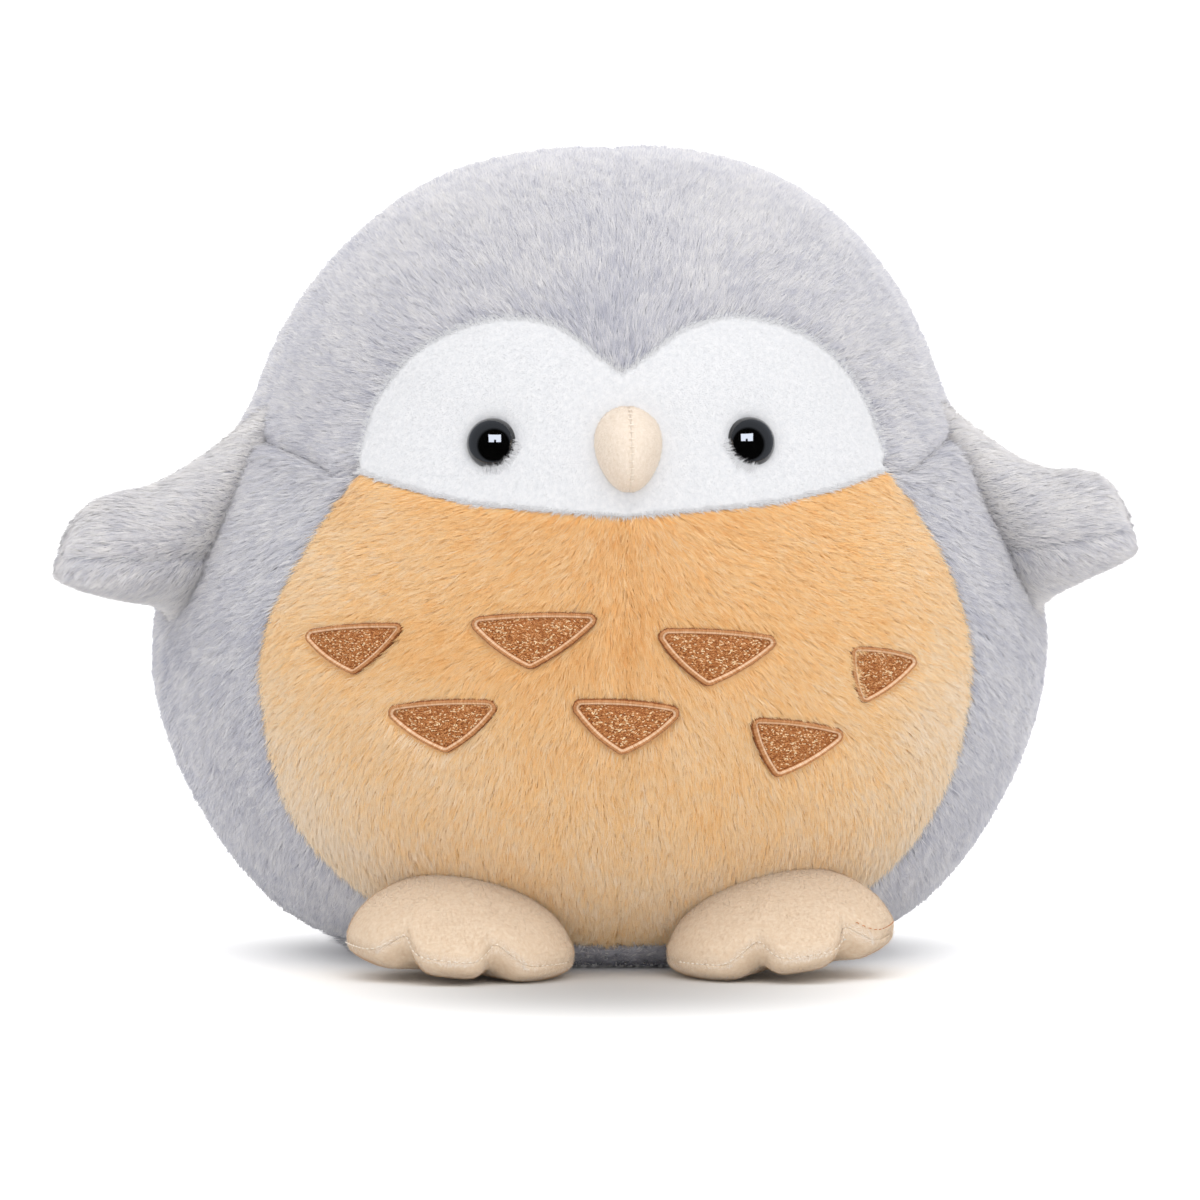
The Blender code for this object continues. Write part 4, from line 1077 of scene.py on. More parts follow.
@dataclass
class Patches:
    """Seven embroidered feather marks with satin borders, let into the belly's pile."""

    finishes: Finishes
    border: float = 0.0019
    bulge: float = 0.0007
    lift: float = 0.0024
    # The middles of each patch's left, bottom and right corners, as across and height, and their radii
    places: tuple = (
        ((-0.684, 0.424), (-0.598, 0.390), (-0.510, 0.438), (0.0027, 0.0024, 0.0018)),
        ((-0.324, 0.446), (-0.213, 0.402), (-0.086, 0.452), (0.0025, 0.0024, 0.0022)),
        ((0.097, 0.431), (0.186, 0.381), (0.318, 0.422), (0.0027, 0.0025, 0.0025)),
        ((0.525, 0.406), (0.548, 0.354), (0.647, 0.391), (0.0020, 0.0025, 0.0025)),
        ((-0.506, 0.335), (-0.408, 0.299), (-0.309, 0.344), (0.0027, 0.0025, 0.0025)),
        ((-0.097, 0.345), (-0.007, 0.299), (0.098, 0.337), (0.0025, 0.0025, 0.0025)),
        ((0.304, 0.322), (0.365, 0.268), (0.485, 0.305), (0.0020, 0.0025, 0.0025)),
    )

    def corners(self, place: tuple) -> Array:
        """The middles of one patch's corners on the flat map, in metres."""
        return np.vstack(
            [to_flat(FORM.place_of(*corner), FlatMap.FRONT) for corner in place[:3]]
        ) * FORM.width / 2

    def outline(self, place: tuple, margin: float) -> Array:
        """The flat outline of one patch grown by a margin: round corners joined by slightly arched sides."""
        corners, radii = self.corners(place), np.array(place[3]) + margin
        turns = np.linspace(0, 2 * math.pi, 72, endpoint=False)
        facing = np.stack((np.cos(turns), np.sin(turns)), 1)
        which = (corners @ facing.T + radii[:, None]).argmax(0)
        rim = corners[which] + np.maximum(radii[which], 0.0002)[:, None] * facing
        points = []
        for start, end in zip(rim, np.roll(rim, -1, axis=0)):
            length = np.linalg.norm(end - start)
            outward = np.array((end[1] - start[1], start[0] - end[0])) / max(length, 1e-9)
            for share in np.arange(0, 1, 1 / max(1, round(length / 0.0007))):
                arch = outward * 4 * share * (1 - share) * self.bulge * (length > 0.003)
                points.append(start + (end - start) * share + arch)
        return np.array(points)

    def inside(self, points: Array, margin: float = 0.0) -> Array:
        """How far points lie inside the nearest patch, negative outside it."""
        flat = to_flat(FORM.locate(points)[0], FlatMap.FRONT) * FORM.width / 2
        deepest = np.full(len(points), -1.0)
        for place in self.places:
            outline = self.outline(place, margin)
            middle = outline.mean(0)
            near = np.linalg.norm(flat - middle, axis=1) < 0.030
            near &= points[:, 1] < 0
            if near.any():
                deepest[near] = np.maximum(deepest[near], depth_inside(flat[near], outline))
        return deepest

    def laid(self, flat: Array, lift: Array | float) -> Array:
        """Points of the flat map laid over the body at a lift."""
        places = from_flat(flat / (FORM.width / 2), FlatMap.FRONT)
        return FORM.skin(places) + FORM.normal(places) * np.broadcast_to(lift, (len(flat),))[:, None]

    def build(self) -> None:
        """Makes every patch and border."""
        for number, place in enumerate(self.places, 1):
            self.build_fill(number, place)
            self.build_border(number, place)

    def build_fill(self, number: int, place: tuple) -> None:
        """One patch: a padded ground closely covered by rows of short stitches."""
        chance = np.random.default_rng(100 + number)
        edge = self.outline(place, -self.border * 0.75)
        low, high = edge.min(0), edge.max(0)
        pitch, length = 0.00030, 0.00058
        corners = self.corners(place)
        along = (corners[2] - corners[0]) / np.linalg.norm(corners[2] - corners[0])
        across = np.array((-along[1], along[0]))
        middle = (low + high) / 2
        starts = []
        for row, offset in enumerate(np.arange(-0.012, 0.012, pitch)):
            for place_along in np.arange(-0.016, 0.016, length * 0.98):
                starts.append(middle + across * offset + along * (place_along + (row % 3) * length / 3))
        starts = np.array(starts) + chance.normal(0, 0.00008, (len(starts), 2))
        starts = starts[depth_inside(starts, edge) > 0]
        count = len(starts)
        slant = chance.normal(0, 0.55, count)[:, None]
        heading = along * np.cos(slant) + across * np.sin(slant)
        crosswise = across * np.cos(slant) - along * np.sin(slant)
        reach = length * chance.uniform(0.5, 0.75, count)[:, None]
        thick = 0.00017 * chance.uniform(0.85, 1.15, count)[:, None]
        dome = self.lift + 0.0004 * np.clip(depth_inside(starts, edge) / 0.003, 0, 1)
        rows, lifts = [], []
        for share, wide, high_share in (
            (-1.0, 0.35, 0.0), (-0.55, 1.0, 0.8), (0.0, 1.0, 1.0), (0.55, 1.0, 0.8), (1.0, 0.35, 0.0)
        ):
            for side, low_share in ((-1, 0.25), (0, 1.0), (1, 0.25)):
                rows.append(starts + heading * reach * share + crosswise * thick * wide * side)
                lifts.append(
                    dome + 0.00022 * high_share * low_share - 0.0001 * (1 - high_share) * (side != 0)
                )
        laid = np.stack([self.laid(row, lift) for row, lift in zip(rows, lifts)], 1)
        faces = []
        for step in range(4):
            for side in range(2):
                a = step * 3 + side
                faces += [(a, a + 3, a + 4), (a, a + 4, a + 1)]
        numbers = np.arange(count)[:, None, None] * 15 + np.array(faces)
        shade = 0.34 + 0.15 * chance.standard_normal(count) + 0.50 * (chance.random(count) < 0.20)
        shade = np.clip(shade, 0.03, 0.97)
        chart = np.zeros((count, 15, 2))
        chart[..., 0] = shade[:, None] + np.tile((-0.008, 0, 0.008), 5)
        # Each stitch is painted darker at its ends and along its sides, as shade round its curve
        chart[..., 1] = np.repeat((0.3, 0.85, 0.97, 0.85, 0.3), 3) - np.tile((0.2, 0, 0.2), 5)
        stitches = (laid.reshape(-1, 3), numbers.reshape(-1, 3), chart.reshape(-1, 2))
        ground = self.ground(edge)
        points = np.vstack((ground[0], stitches[0]))
        faces = np.vstack((ground[1], stitches[1] + len(ground[0])))
        made = mesh_object(f"feather_fill_{number}", points, faces, np.vstack((ground[2], stitches[2])))
        self.finishes.thread.assign(made)
        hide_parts(f"feather_patch_{number}")
        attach(made, "torso")

    def ground(self, edge: Array) -> tuple[Array, Array, Array]:
        """The closed pad under the stitches: its points, faces and chart."""
        middle = edge.mean(0)
        rings = [middle + (edge - middle) * share for share in (0.02, 0.35, 0.7, 0.92, 1.0)]
        lifts = [self.lift + 0.0003, self.lift + 0.0003, self.lift + 0.0002, self.lift, self.lift - 0.0003]
        rings, lifts = rings + [rings[-1], rings[0]], lifts + [self.lift - 0.0012, self.lift - 0.0012]
        count = len(edge)
        points = np.vstack([self.laid(ring, lift) for ring, lift in zip(rings, lifts)])
        faces = []
        for ring in range(len(rings) - 1):
            for i in range(count):
                j = (i + 1) % count
                row, below = ring * count, (ring + 1) * count
                a, b, c, d = row + i, row + j, below + j, below + i
                faces += [(a, d, c), (a, c, b)]
        for first in (0, (len(rings) - 1) * count):
            for i in range(1, count - 1):
                face = (first, first + i, first + i + 1)
                faces.append(face if first == 0 else face[::-1])
        chart = np.full((len(points), 2), (0.15, 0.3))
        chart[:, 0] += np.linspace(0, 0.02, len(points))
        return points, np.array(faces), chart

    def build_border(self, number: int, place: tuple) -> None:
        """One border: a raised ring of satin stitches laid across the patch's edge."""
        chance = np.random.default_rng(200 + number)
        outer = spaced(np.vstack((self.outline(place, 0.0), self.outline(place, 0.0)[:1])), 0.00022)[:-1]
        tangent = unit(np.roll(outer, -1, axis=0) - np.roll(outer, 1, axis=0))
        inward = np.stack((-tangent[:, 1], tangent[:, 0]), 1)
        count = len(outer)
        thread = 0.5 + 0.5 * np.cos(np.arange(count) * math.pi)
        shares = (0.0, 0.05, 0.16, 0.22, 0.4, 0.52, 0.6, 0.8, 0.87, 0.95, 1.0)
        arch = (-0.0006, 0.0003, 0.0007, 0.0009, 0.0011, 0.0011, 0.0010, 0.0007, 0.0004, 0.0001, -0.0004)
        uneven = chance.normal(0, 0.00005, count)
        rings, charts = [], []
        shade = 0.07 * chance.standard_normal(count)
        for share, rise in zip(shares, arch):
            flat = outer + inward * (self.border * share + uneven * (share < 0.5))[:, None]
            high = self.lift + rise + (thread - 0.5) * 0.00014 * math.sin(math.pi * share)
            rings.append(self.laid(flat, high))
            # Across the border: a dark outer line, tan, pale, then a dark inner band that is painted shade
            # where the border meets the fill; the lower alternate threads are painted darker, as shade
            # between the ribs
            pale = 0.04 if share < 0.2 else 0.42 if share < 0.55 else 0.84 if share < 0.85 else 0.16
            charts.append(np.stack((np.clip(shade + pale, 0, 0.97), 0.45 + 0.5 * thread), 1))
        rings += [
            self.laid(outer + inward * self.border, self.lift - 0.0012), self.laid(outer, self.lift - 0.0012)
        ]
        charts += [charts[-1], charts[0]]
        total = len(rings)
        number_of = np.arange(total * count).reshape(total, count)
        ahead, inner = np.roll(number_of, -1, axis=1), np.roll(number_of, -1, axis=0)
        diagonal = np.roll(ahead, -1, axis=0)
        quads = np.stack((number_of, ahead, diagonal, inner), -1).reshape(-1, 4)
        faces = np.vstack((quads[:, [0, 1, 2]], quads[:, [0, 2, 3]]))
        made = mesh_object(f"feather_edge_{number}", np.vstack(rings), faces, np.vstack(charts))
        self.finishes.satin.assign(made)
        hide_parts(f"feather_border_{number}")
        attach(made, "torso")


@dataclass
class Beak:
    """A stuffed egg of two sewn halves, seated on the face."""

    finishes: Finishes
    width: float = 0.016
    height: float = 0.0215
    length: float = 0.0115
    seat: float = 0.0015
    droop: float = 0.002
    taper: float = 0.16
    place: tuple = (0.014, 0.66)

    def frame(self) -> tuple[Array, Array, Array]:
        """Its middle, and the directions out of the face and up it."""
        place = FORM.place_of(*self.place)
        outward = FORM.normal(place)[0]
        upward = np.cross((1.0, 0.0, 0.0), outward)
        return FORM.skin(place)[0] + self.seat * outward, outward, unit(upward * np.sign(upward[2]))

    def surface(self, from_pole: Array, round_pole: Array) -> Array:
        """Points of the egg; its pole points forward."""
        middle, outward, upward = self.frame()
        ring, rise = np.sin(from_pole), np.cos(round_pole)
        across = self.width / 2 * ring * np.sin(round_pole) * (1 + self.taper * rise)
        ahead = self.length * np.cos(from_pole)
        high = self.height / 2 * ring * rise - self.droop * np.maximum(np.cos(from_pole), 0)
        across, high, ahead = across[..., None], high[..., None], ahead[..., None]
        return middle + across * np.array((1.0, 0.0, 0.0)) + high * upward + ahead * outward

    def keep_clear(self, roots: Array, gap: Array) -> Array:
        """Keeps the face's pile out from under the beak."""
        middle, _, upward = self.frame()
        off = roots - middle
        off = np.hypot(off[:, 0] / (self.width / 2), (off @ upward) / (self.height / 2))
        return (off > 0.93).astype(float)

    def build(self) -> None:
        """Makes both halves, their pile and the stitches of the seam."""
        middle, _, _ = self.frame()
        for side in Side:
            start = 0.0 if side is Side.RIGHT else math.pi
            turns = np.linspace(start, start + math.pi, 41)
            poles = np.linspace(0.0, math.radians(112), 34)
            points = self.surface(*np.meshgrid(poles, turns, indexing="ij"))
            gap = np.abs(points[..., 0] - middle[0])
            sheet = grid_sheet(points, gap, False)
            drawn = 0.00018 * np.exp(-((sheet.gap / 0.0009) ** 2)) - 0.0002 * STUFFING.at(sheet.points, 0.006)
            sheet.points -= sheet.normals * drawn[:, None]
            sheet.points[:, 0] += side.value * 0.00002
            _, out = FORM.locate(sheet.points)
            sheet = sheet.without(out < 0.985)
            made = sew(
                f"beak_half_{side.word}", [f"beak_panel_{side.word}"], sheet, self.finishes.beak_knit, 0.0012
            )
            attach(made, "torso")
            look = PileLook(self.finishes.beak_pile, self.tone, 0.08, 0.06)
            pile = Pile(14.0, 0.0008, 0.00012, 0.35, 0.0007, 0.1, 20.0)
            made = pile.grow(f"beak_pile_{side.word}", sheet, self.nap, look, 31 + side.value)
            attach(made, "torso")
        self.build_stitches()

    def tone(self, roots: Array, gap: Array) -> Array:
        """Fading to white where it meets the face, a painted sheen, and paler in the seam's groove, painted
        light over the groove's shade.
        """
        _, out = FORM.locate(roots)
        edge = np.clip((1.085 - out) / 0.07, 0, 1)
        return 0.52 + 0.45 * edge**2 + 0.12 * np.exp(-((gap / 0.0009) ** 2)) + 0.05 * SHADING.at(roots, 0.005)

    def nap(self, roots: Array) -> Array:
        """The pile leans down and away from the seam."""
        middle, _, upward = self.frame()
        return (roots - middle) * (0.6, 0, 0) - upward * 0.006

    def build_stitches(self) -> None:
        """The seam's ladder stitches, lying across the groove."""
        poles = np.linspace(math.radians(58), math.radians(-50), 12)
        middle, _, _ = self.frame()
        points = self.surface(np.abs(poles), np.where(poles > 0, 0.0, math.pi))
        away = unit(points - middle)
        starts = points + away * 0.00022
        made = thread_stitches(
            "beak_stitches", starts, np.tile((1.0, 0.0, 0.0), (len(poles), 1)), away, 0.0012, 0.00015
        )
        self.finishes.peach_thread.assign(made)
        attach(made, "torso")


def thread_stitches(
    name: str, middles: Array, along: Array, outward: Array, length: float, radius: float
) -> bpy.types.Object:
    """Short bent stitches of thread, each a tapering tube whose ends dive into the fabric.

    Args:
        name: The new object's name.
        middles: The stitches' middles.
        along: Their directions.
        outward: The directions out of the fabric.
        length: Their length in metres.
        radius: The thread's radius in metres.

    Returns:
        The stitches.
    """
    aside = np.cross(outward, along)
    rows = []
    for share in np.linspace(-1, 1, 7):
        bow = math.cos(share * math.pi / 2)
        thick = radius * (0.55 + 0.45 * bow)
        centre = middles + along * length / 2 * share + outward * radius * 1.6 * (bow - 0.5)
        for turn in np.linspace(0, 2 * math.pi, 6, endpoint=False):
            rows.append(centre + aside * thick * math.cos(turn) + outward * thick * math.sin(turn))
    points = np.stack(rows, 1)
    faces = []
    for step in range(6):
        for side in range(6):
            a, b = step * 6 + side, step * 6 + (side + 1) % 6
            faces += [(a, b, b + 6), (a, b + 6, a + 6)]
    for side in range(1, 5):
        faces += [(0, side + 1, side), (36, 36 + side, 37 + side)]
    numbers = np.arange(len(middles))[:, None, None] * 42 + np.array(faces)
    chart = np.zeros((len(middles), 42, 2))
    chart[..., 0] = 0.5 + 0.04 * (np.arange(42) % 6)
    # Each stitch darkens towards its first end through the thread's painted root shade
    chart[..., 1] = np.repeat(np.linspace(0.3, 0.9, 7), 6)
    return mesh_object(name, points.reshape(-1, 3), numbers.reshape(-1, 3), chart.reshape(-1, 2))


@dataclass
class Body:
    """The sewn panels of the body with their pile, over the stuffing."""

    finishes: Finishes
    eyes: Eyes
    beak: Beak
    patches: Patches
    step: float = 0.0026
    fabric: float = 0.0022
    # How far the pile hides each seam's crease; the neck's is deeper
    covered: tuple = (
        ("side_upper", 0.95),
        ("side_lower", 0.9),
        ("crown_centre", 0.8),
        ("belly_centre", 0.75),
        ("back_centre", 0.6),
        ("face_top", 0.9),
        ("face_low", 0.92),
        ("neck", -1.0),
        ("belly_edge", 0.5),
    )

    def lift(self, skin: Array, gap: Array) -> Array:
        """How far the stuffing and the seams move the fabric; the pile hides seams between like panels."""
        depth = 0.0012 * (1 - self.hidden(skin))
        height = 0.0019 - depth * np.exp(-((gap / 0.0024) ** 2))
        height += 0.0006 * STUFFING.at(skin, 0.028) + 0.0003 * STUFFING.at(skin, 0.011)
        height += 0.0005 * (1 - np.exp(-((gap / 0.012) ** 2)))
        return np.where(skin[:, 2] < 0.002, np.maximum(height, 0) + 0.0002, height)

    def hidden(self, skin: Array) -> Array:
        """How far the pile hides the seams near points of the skin, from 0 to 1."""
        most = np.zeros(len(skin))
        for side in Side:
            drawn = SEAMS.drawn(side)
            for name, share in self.covered:
                spots = FORM.skin(drawn[name])
                for part in np.array_split(np.arange(len(skin)), len(skin) // 4000 + 1):
                    far = np.linalg.norm(skin[part, None] - spots, axis=2).min(1)
                    found = share * np.exp(-((far / 0.006) ** 2))
                    most[part] = np.where(np.abs(found) > np.abs(most[part]), found, most[part])
        return most

    def belly_lift(self, skin: Array, gap: Array) -> Array:
        """The belly's lift, pressed in under the patches."""
        inside = self.patches.inside(skin)
        return self.lift(skin, gap) - 0.0004 - 0.0008 / (1 + np.exp(-inside / 0.0007)) * (inside > -0.9)

    def face_lift(self, skin: Array, gap: Array) -> Array:
        """The face's lift, drawn in round the eyes, with a faint crease below the beak."""
        crease = 0.0007 * np.exp(
            -(((skin[:, 0] - 0.0016) / 0.0011) ** 2) - ((skin[:, 2] - 0.1145) / 0.003) ** 2
        )
        return self.lift(skin, gap) - 0.0001 - crease - self.eyes.dimples(skin)

    def grey_tone_and_painted_light(self, roots: Array, gap: Array) -> Array:
        """Paler towards the top and on the floor, deeper and bluer beside a seam and over the face's peak;
        the paler top and floor are painted light, the deeper seams painted shade.
        """
        high = np.clip((roots[:, 2] - 0.06) / 0.13, 0, 1)
        peak = np.linalg.norm(roots - (0.0, -0.088, 0.166), axis=1)
        # Painted light paler towards the top, and painted shade beside a seam
        tone = 0.45 + 0.10 * high - 0.05 * np.exp(-((gap / 0.004) ** 2))
        tone -= 0.20 * np.exp(-((peak / 0.020) ** 2))
        # Painted light near the floor, lifting the shade there
        return tone + 0.3 * np.exp(-roots[:, 2] / 0.005) + 0.05 * SHADING.at(roots, 0.018)

    def tan_tone_and_seam_shade(self, roots: Array, gap: Array) -> Array:
        """Deeper in the middle, paler at the sides and below, with painted shade beside a seam."""
        aside = np.clip(np.abs(roots[:, 0]) / 0.085, 0, 1)
        low = np.clip((0.085 - roots[:, 2]) / 0.07, 0, 1)
        tone = 0.35 + 0.36 * aside**2.5 + 0.40 * low + 0.11 * SHADING.at(roots, 0.020)
        # Painted shade in the seams' creases
        return tone - 0.06 * np.exp(-((gap / 0.003) ** 2))

    def white_tone_and_dimple_shade(self, roots: Array, gap: Array) -> Array:
        """Even, a little deeper round the eyes: painted shade in the dimples there."""
        return 0.62 - 60 * self.eyes.dimples(roots) + 0.04 * SHADING.at(roots, 0.014)

    def low_trim(self, roots: Array, gap: Array) -> Array:
        """Shortens the pile that the toy sits on."""
        return 0.4 + 0.6 * np.clip((roots[:, 2] - 0.003) / 0.012, 0, 1)

    def edge_only(self, roots: Array, gap: Array) -> Array:
        """Keeps only the fibres along the face's seam, which they cover."""
        return np.where(gap < 0.0014, 1.0, 0.0)

    def clear_of_patches(self, roots: Array, gap: Array) -> Array:
        """Keeps the belly's pile out of the patches, and short where it leans over one."""
        inside = self.patches.inside(roots)
        ahead = unit(self.belly_nap(roots)) * 0.0034
        reach = self.patches.inside(roots + ahead)
        free = np.clip((0.0012 - inside) / np.maximum(reach - inside, 1e-6), 0.25, 1)
        return np.where(inside > -0.0001, 0.0, np.where(reach > 0.0012, free, 1.0))

    def clear_of_eyes(self, roots: Array, gap: Array) -> Array:
        """Keeps the face's pile out of the eyes."""
        return np.where(self.eyes.holes(roots, 0.0063), 0.0, 1.0)

    def crown_nap(self, roots: Array) -> Array:
        """Away from the middle of the face, up over the head and out to the sides."""
        return roots - np.array((0.0, -0.080, 0.125))

    def side_nap(self, roots: Array) -> Array:
        """Outwards and down."""
        return roots - np.array((0.0, -0.080, 0.150))

    def belly_nap(self, roots: Array) -> Array:
        """Out from the centre seam near the top, and down below."""
        spread = np.clip((roots[:, 2] - 0.030) / 0.070, 0, 1)
        aside = roots[:, 0] / 0.030 * spread
        return np.stack((aside, np.zeros(len(roots)), -1.1 + 0.5 * spread), 1)

    def back_nap(self, roots: Array) -> Array:
        """On from the crown over the head and sides, then down the back."""
        down = np.stack((roots[:, 0] * 3, np.full(len(roots), 0.2), np.full(len(roots), -1.0)), 1)
        share = np.clip((roots[:, 1] - 0.012) / 0.045, 0, 1)[:, None]
        low = np.clip((roots[:, 2] - 0.09) / 0.04, 0, 1)[:, None]
        onward = unit(self.crown_nap(roots)) * low + unit(self.side_nap(roots)) * (1 - low)
        return unit(down) * share + onward * (1 - share)

    def base_nap(self, roots: Array) -> Array:
        """Out from the middle."""
        return roots * (1, 1, 0) + (1e-5, 0, 0)

    def face_nap(self, roots: Array) -> Array:
        """Down and out from the brow."""
        return roots - np.array((0.0, -0.080, 0.150))

    def build(self) -> None:
        """Makes every panel of the body."""
        grey = (self.finishes.grey_knit, self.finishes.grey_pile)
        tan = (self.finishes.tan_knit, self.finishes.tan_pile)
        long_pile = Pile(13.0, 0.0042, 0.00022, 0.30, 0.0008, 0.35, 16.0)
        belly_pile = Pile(13.0, 0.0042, 0.00021, 0.30, 0.0009, 0.38, 18.0)
        back_pile = Pile(5.0, 0.0046, 0.00038, 0.30, 0.0014, 0.35, 16.0)
        belly_trims = (self.clear_of_patches, self.low_trim)
        for side in Side:
            outlines = SEAMS.outlines(side)
            kinds = {
                "crown": (grey, self.lift, self.crown_nap, self.grey_tone_and_painted_light, long_pile, ()),
                "side": (grey, self.lift, self.side_nap, self.grey_tone_and_painted_light, long_pile, (self.low_trim,)),
                "belly": (tan, self.belly_lift, self.belly_nap, self.tan_tone_and_seam_shade, belly_pile, belly_trims),
                "back": (grey, self.lift, self.back_nap, self.grey_tone_and_painted_light, back_pile, (self.low_trim,)),
            }
            for number, (kind, (finish, lift, nap, tone, pile, trims)) in enumerate(kinds.items()):
                flat_map = FlatMap.BACK if kind == "back" else FlatMap.FRONT
                sheet = lay_sheet(outlines[kind], flat_map, lift, self.step)
                name = f"{kind}_fabric_{side.word}"
                made = sew(name, [f"{kind}_panel_{side.word}"], sheet, finish[0], self.fabric)
                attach(made, "torso")
                look = PileLook(finish[1], tone, 0.30 if kind == "belly" else 0.42, 0.12, trims)
                seed = 50 + 2 * number + side.value
                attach(pile.grow(f"{kind}_pile_{side.word}", sheet, nap, look, seed), "torso")
        self.build_face()
        self.build_base()

    def build_face(self) -> None:
        """The white face, holed for the eyes' shanks."""
        sheet = lay_sheet(SEAMS.face(), FlatMap.FRONT, self.face_lift, 0.0016)
        sheet = sheet.without(self.eyes.holes(sheet.points, 0.0034))
        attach(sew("face_fabric", ["face_panel"], sheet, self.finishes.white_knit, 0.0018), "torso")
        trims = (self.clear_of_eyes, self.beak.keep_clear)
        look = PileLook(self.finishes.white_pile, self.white_tone_and_dimple_shade, 0.04, 0.04, trims)
        pile = Pile(15.0, 0.0007, 0.00016, 0.20, 0.0009, 0.1, 8.0)
        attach(pile.grow("face_pile", sheet, self.face_nap, look, 71), "torso")
        look = PileLook(self.finishes.white_pile, self.white_tone_and_dimple_shade, 0.04, 0.04, (self.edge_only,), 0.8)
        fringe = Pile(15.0, 0.0021, 0.00014, 0.40, 0.0009, 0.3, 22.0, 1.0)
        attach(fringe.grow("face_fringe", sheet, self.crown_nap, look, 72), "torso")
        for side, (origin, _) in zip(Side, self.eyes.seats()):
            self.build_tuft(side, origin, sheet)

    def build_tuft(self, side: Side, origin: Array, sheet: Sheet) -> None:
        """The longer fibres that lean over the inner lower rim of an eye."""
        away = sheet.points - origin
        inner, far = away @ np.array((-side.value * 0.66, 0.0, -0.75)), np.linalg.norm(away, axis=1)
        sheet = sheet.without((inner < 0.55 * far) | (far > 0.0080) | (far < 0.0060))
        look = PileLook(self.finishes.white_pile, self.white_tone_and_dimple_shade, 0.06, 0.05, (), 0.6)
        pile = Pile(9.0, 0.0022, 0.00014, 0.60, 0.0009, 0.2, 25.0, 1.0)
        made = pile.grow(f"eye_tuft_{side.word}", sheet, lambda roots: origin - roots, look, 75 + side.value)
        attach(made, "torso")

    def build_base(self) -> None:
        """The flat underside, whose pile is pressed against the floor."""
        sheet = lay_sheet(SEAMS.underside(), FlatMap.BASE, self.lift, 0.0045)
        sheet.points[:, 2] = np.maximum(sheet.points[:, 2], 0.0005)
        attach(sew("base_fabric", ["base_panel"], sheet, self.finishes.grey_knit, 0.0018), "torso")
        pile = Pile(2.0, 0.0036, 0.00042, 0.35, 0.0018, 0.5, 25.0)
        look = PileLook(self.finishes.grey_pile, self.grey_tone_and_painted_light)
        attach(pile.grow("base_pile", sheet, self.base_nap, look, 81), "torso")


